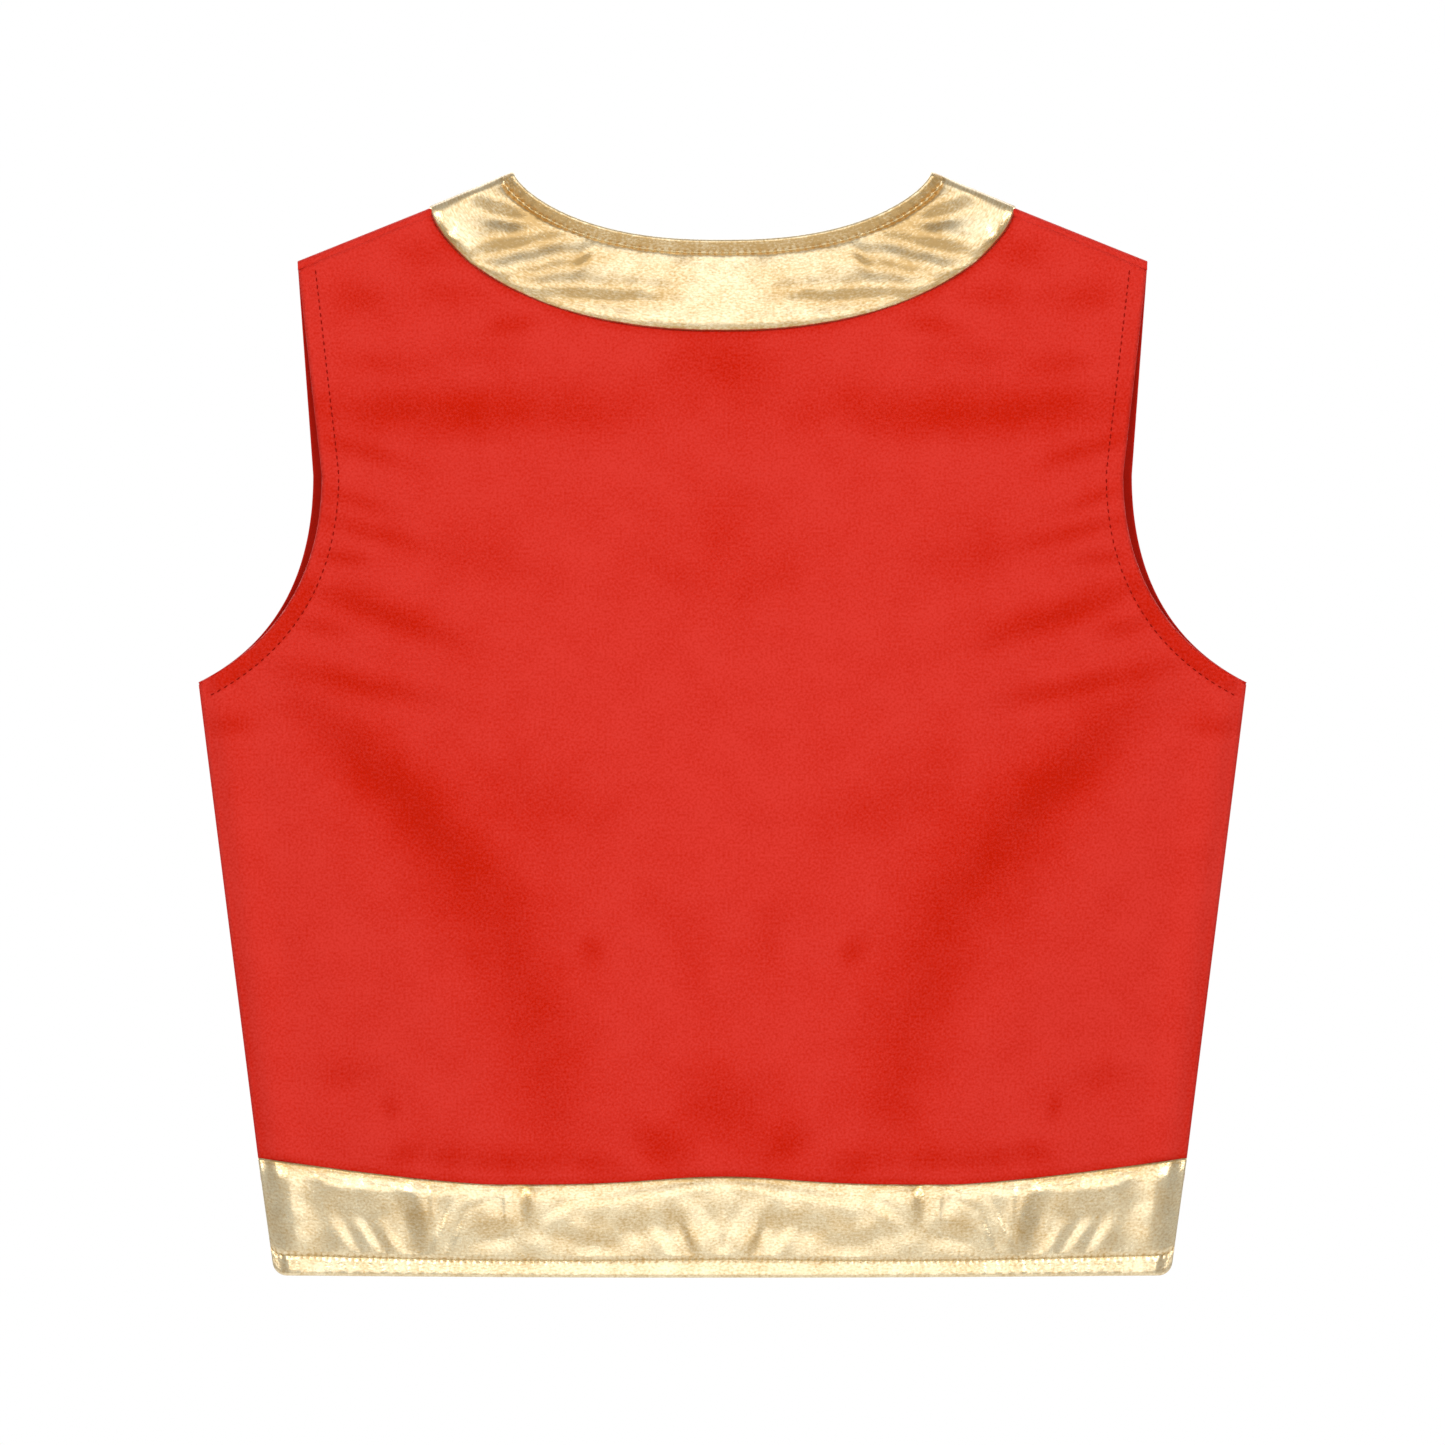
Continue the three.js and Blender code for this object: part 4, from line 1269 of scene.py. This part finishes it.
satinLook = {
    # bright carries a painted sheen; deep is the painted shade and the darker end of the mottle
    "bright": (0.605, 0.0345, 0.0245, 1.0),
    "deep": (0.500, 0.0095, 0.0014, 1.0),
    # the wrong side's own colour, also painted shade on the facings' good side
    "wrongAndShade": (0.380, 0.0050, 0.0008, 1.0),
    "rough": 0.36,
    "specular": 0.24,
    "specularTint": (1.0, 0.10, 0.05, 1.0),
    "bump": (0.35, 0.00012),
}
goldLook = {
    # deep is the darker end of the knit's mottle and the bands' painted shade
    "pale": (0.89, 0.755, 0.50, 1.0),
    "deep": (0.56, 0.36, 0.14, 1.0),
    "rough": 0.33,
    "coat": 0.4,
    "coatRough": 0.16,
    "bump": (0.55, 0.00022),
}
threadLook = {
    "redThread": {"colour": (0.30, 0.004, 0.001, 1.0), "rough": 0.55},
    "goldThread": {"colour": (0.70, 0.56, 0.30, 1.0), "rough": 0.4},
    # the thread's colour holds a painted shade on the turned-away side of each twist
    "shaded": 0.62,  # how dark the turned-away side of each twist is
    "specular": 0.3,
    "bump": (0.4, 0.00008),
}


def satinFinish():
    # red satin: long fine floats in one direction, a slight mottle, and a duller wrong side; the colour
    # goes from a bright one with painted sheen to a deep one of painted shade by the painted shade
    # attribute plus noise, and the facings' good side takes the wrong side's colour as painted shade
    look = Finish("redSatin")
    # the wrong side, and painted shade on the facings
    wrongAndShade = look.add("ShaderNodeAttribute", {"attribute_name": "wrongSideAndShade"}, {}, 2)
    # the satin's painted shade and painted sheen
    paintedShade = look.add("ShaderNodeAttribute", {"attribute_name": "paintedShade"}, {}, 2)
    floats = look.noise(look.stretched((700.0, 2400.0, 1.0)), 1.0, 3.0)
    grain = look.noise(look.stretched((1100.0, 1100.0, 1.0)), 1.0, 2.0)
    mottle = look.noise(look.stretched((70.0, 70.0, 1.0)), 1.0, 3.0)
    share = 0.22 + paintedShade * 0.78 + (grain - 0.5) * 1.9 + (mottle - 0.5) * 0.6
    right = look.blend(share, satinLook["bright"], satinLook["deep"])
    colour = look.blend(wrongAndShade, right, satinLook["wrongAndShade"])
    rough = satinLook["rough"] + (floats - 0.5) * 0.12 + wrongAndShade * 0.16
    normal = look.bump(floats * 0.6 + grain * 0.4, *satinLook["bump"])
    look.put(look.shader, {
        "Base Color": colour,
        "Roughness": rough,
        "Normal": normal,
        "Specular IOR Level": satinLook["specular"],
        "Specular Tint": satinLook["specularTint"],
    })
    return look.material


def goldFinish():
    # foil on knit: metallic, broken up by the fine stitches of the knit under it, and deeper by painted
    # shade in its creases, along its seam, round its stitch holes and on the strip past them
    look = Finish("goldFoilKnit")
    knit = look.noise(look.stretched((780.0, 1500.0, 1.0)), 1.0, 2.0)
    grain = look.noise(look.stretched((1300.0, 1300.0, 1.0)), 1.0, 2.0)
    cloud = look.noise(look.stretched((120.0, 120.0, 1.0)), 1.0, 3.0)
    # the bands' painted shade in creases, along seams and round stitch holes
    paintedBandShade = look.add("ShaderNodeAttribute", {"attribute_name": "paintedShade"}, {}, 2)
    share = (cloud - 0.5) * 1.1 + (knit - 0.5) * 1.7 + (grain - 0.5) * 0.9 + 0.30 + paintedBandShade
    colour = look.blend(share, goldLook["pale"], goldLook["deep"])
    rough = goldLook["rough"] + (knit - 0.5) * 0.30 + (cloud - 0.5) * 0.14
    normal = look.bump(knit * 0.6 + grain * 0.4, *goldLook["bump"])
    look.put(look.shader, {
        "Base Color": colour,
        "Roughness": rough,
        "Metallic": 1.0,
        "Normal": normal,
        "Coat Weight": goldLook["coat"],
        "Coat Roughness": goldLook["coatRough"],
    })
    return look.material


def threadFinish(name):
    # polyester thread: slanting bands of a wave stand for its twist, as bumps and as painted shade
    look = Finish(name)
    colour, rough = threadLook[name]["colour"], threadLook[name]["rough"]
    spot = look.add("ShaderNodeTexCoord", {}, {}, 3)  # Object coordinates
    twist = look.add("ShaderNodeTexWave", {"wave_type": "BANDS", "bands_direction": "DIAGONAL"},
                     {"Vector": spot, "Scale": 1400.0, "Distortion": 1.5})
    shaded = tuple(c * threadLook["shaded"] for c in colour[:3]) + (1.0,)
    normal = look.bump(twist, *threadLook["bump"])
    look.put(look.shader, {
        "Base Color": look.blend(twist * 0.5, colour, shaded),
        "Roughness": rough,
        "Normal": normal,
        "Specular IOR Level": threadLook["specular"],
        "Specular Tint": colour,
    })
    return look.material


satin, gold = satinFinish(), goldFinish()
redThread, goldThread = threadFinish("redThread"), threadFinish("goldThread")


def dress(piece, material):
    # one material over the whole piece
    piece.data.materials.clear()
    piece.data.materials.append(material)


for piece in [backPanel, *frontPanels.values(), *facings, *(strip for strip, _ in seams)]:
    dress(piece, satin)
for piece in [neckBand, backHem, *frontBands.values(), *frontHems.values()]:
    dress(piece, gold)
for piece in [neckStitches, hemStitches, *frontStitches["left"], *frontStitches["right"]]:
    dress(piece, goldThread)
for piece in [*armStitches, *(loops for _, loops in seams)]:
    dress(piece, redThread)
print("materials on")

for piece in [neckBand, backHem, neckStitches, hemStitches]:
    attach(piece, "back_and_sides")

# Each front's pieces get their place baked into their meshes; the hinge's axis, the way in and the
# start are worked out but not used.
for side in ("left", "right"):
    way = 1.0 if side == "left" else -1.0
    axis = Vector(leftHinge["axis"])
    inwards = Vector((-axis[2] * way, 0.0, axis[0]))
    start = Vector((leftHinge["pos_m"][0] * way, 0.0, 0.0))
    for piece in [frontPanels[side], frontBands[side], frontHems[side], *frontStitches[side]]:
        side + "_front"
        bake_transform(piece)


def declare(piece, withPieces=()):
    width, tall, area = cuts[piece.name]
    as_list(withPieces)
    print(f"  {piece.name}: cut {width:.1f} x {tall:.1f} mm, {area:.0f} mm2")


# the shoulder seams show only a sliver of cloth; they are passed with the back panel, and only its cut
# size is printed
shoulderPieces = [piece for pair in seams for piece in pair if "Shoulder" in piece.name]
declare(backPanel, shoulderPieces)
declare(neckBand, [neckStitches])
declare(backHem, [hemStitches])
for side in ("left", "right"):
    declare(frontPanels[side])
    declare(frontBands[side], frontStitches[side][:1])
    declare(frontHems[side], frontStitches[side][1:])
for piece, stitches in zip(facings, armStitches):
    declare(piece, [stitches])
for strip, loops in seams:
    if "Side" in strip.name:
        declare(strip, [loops])
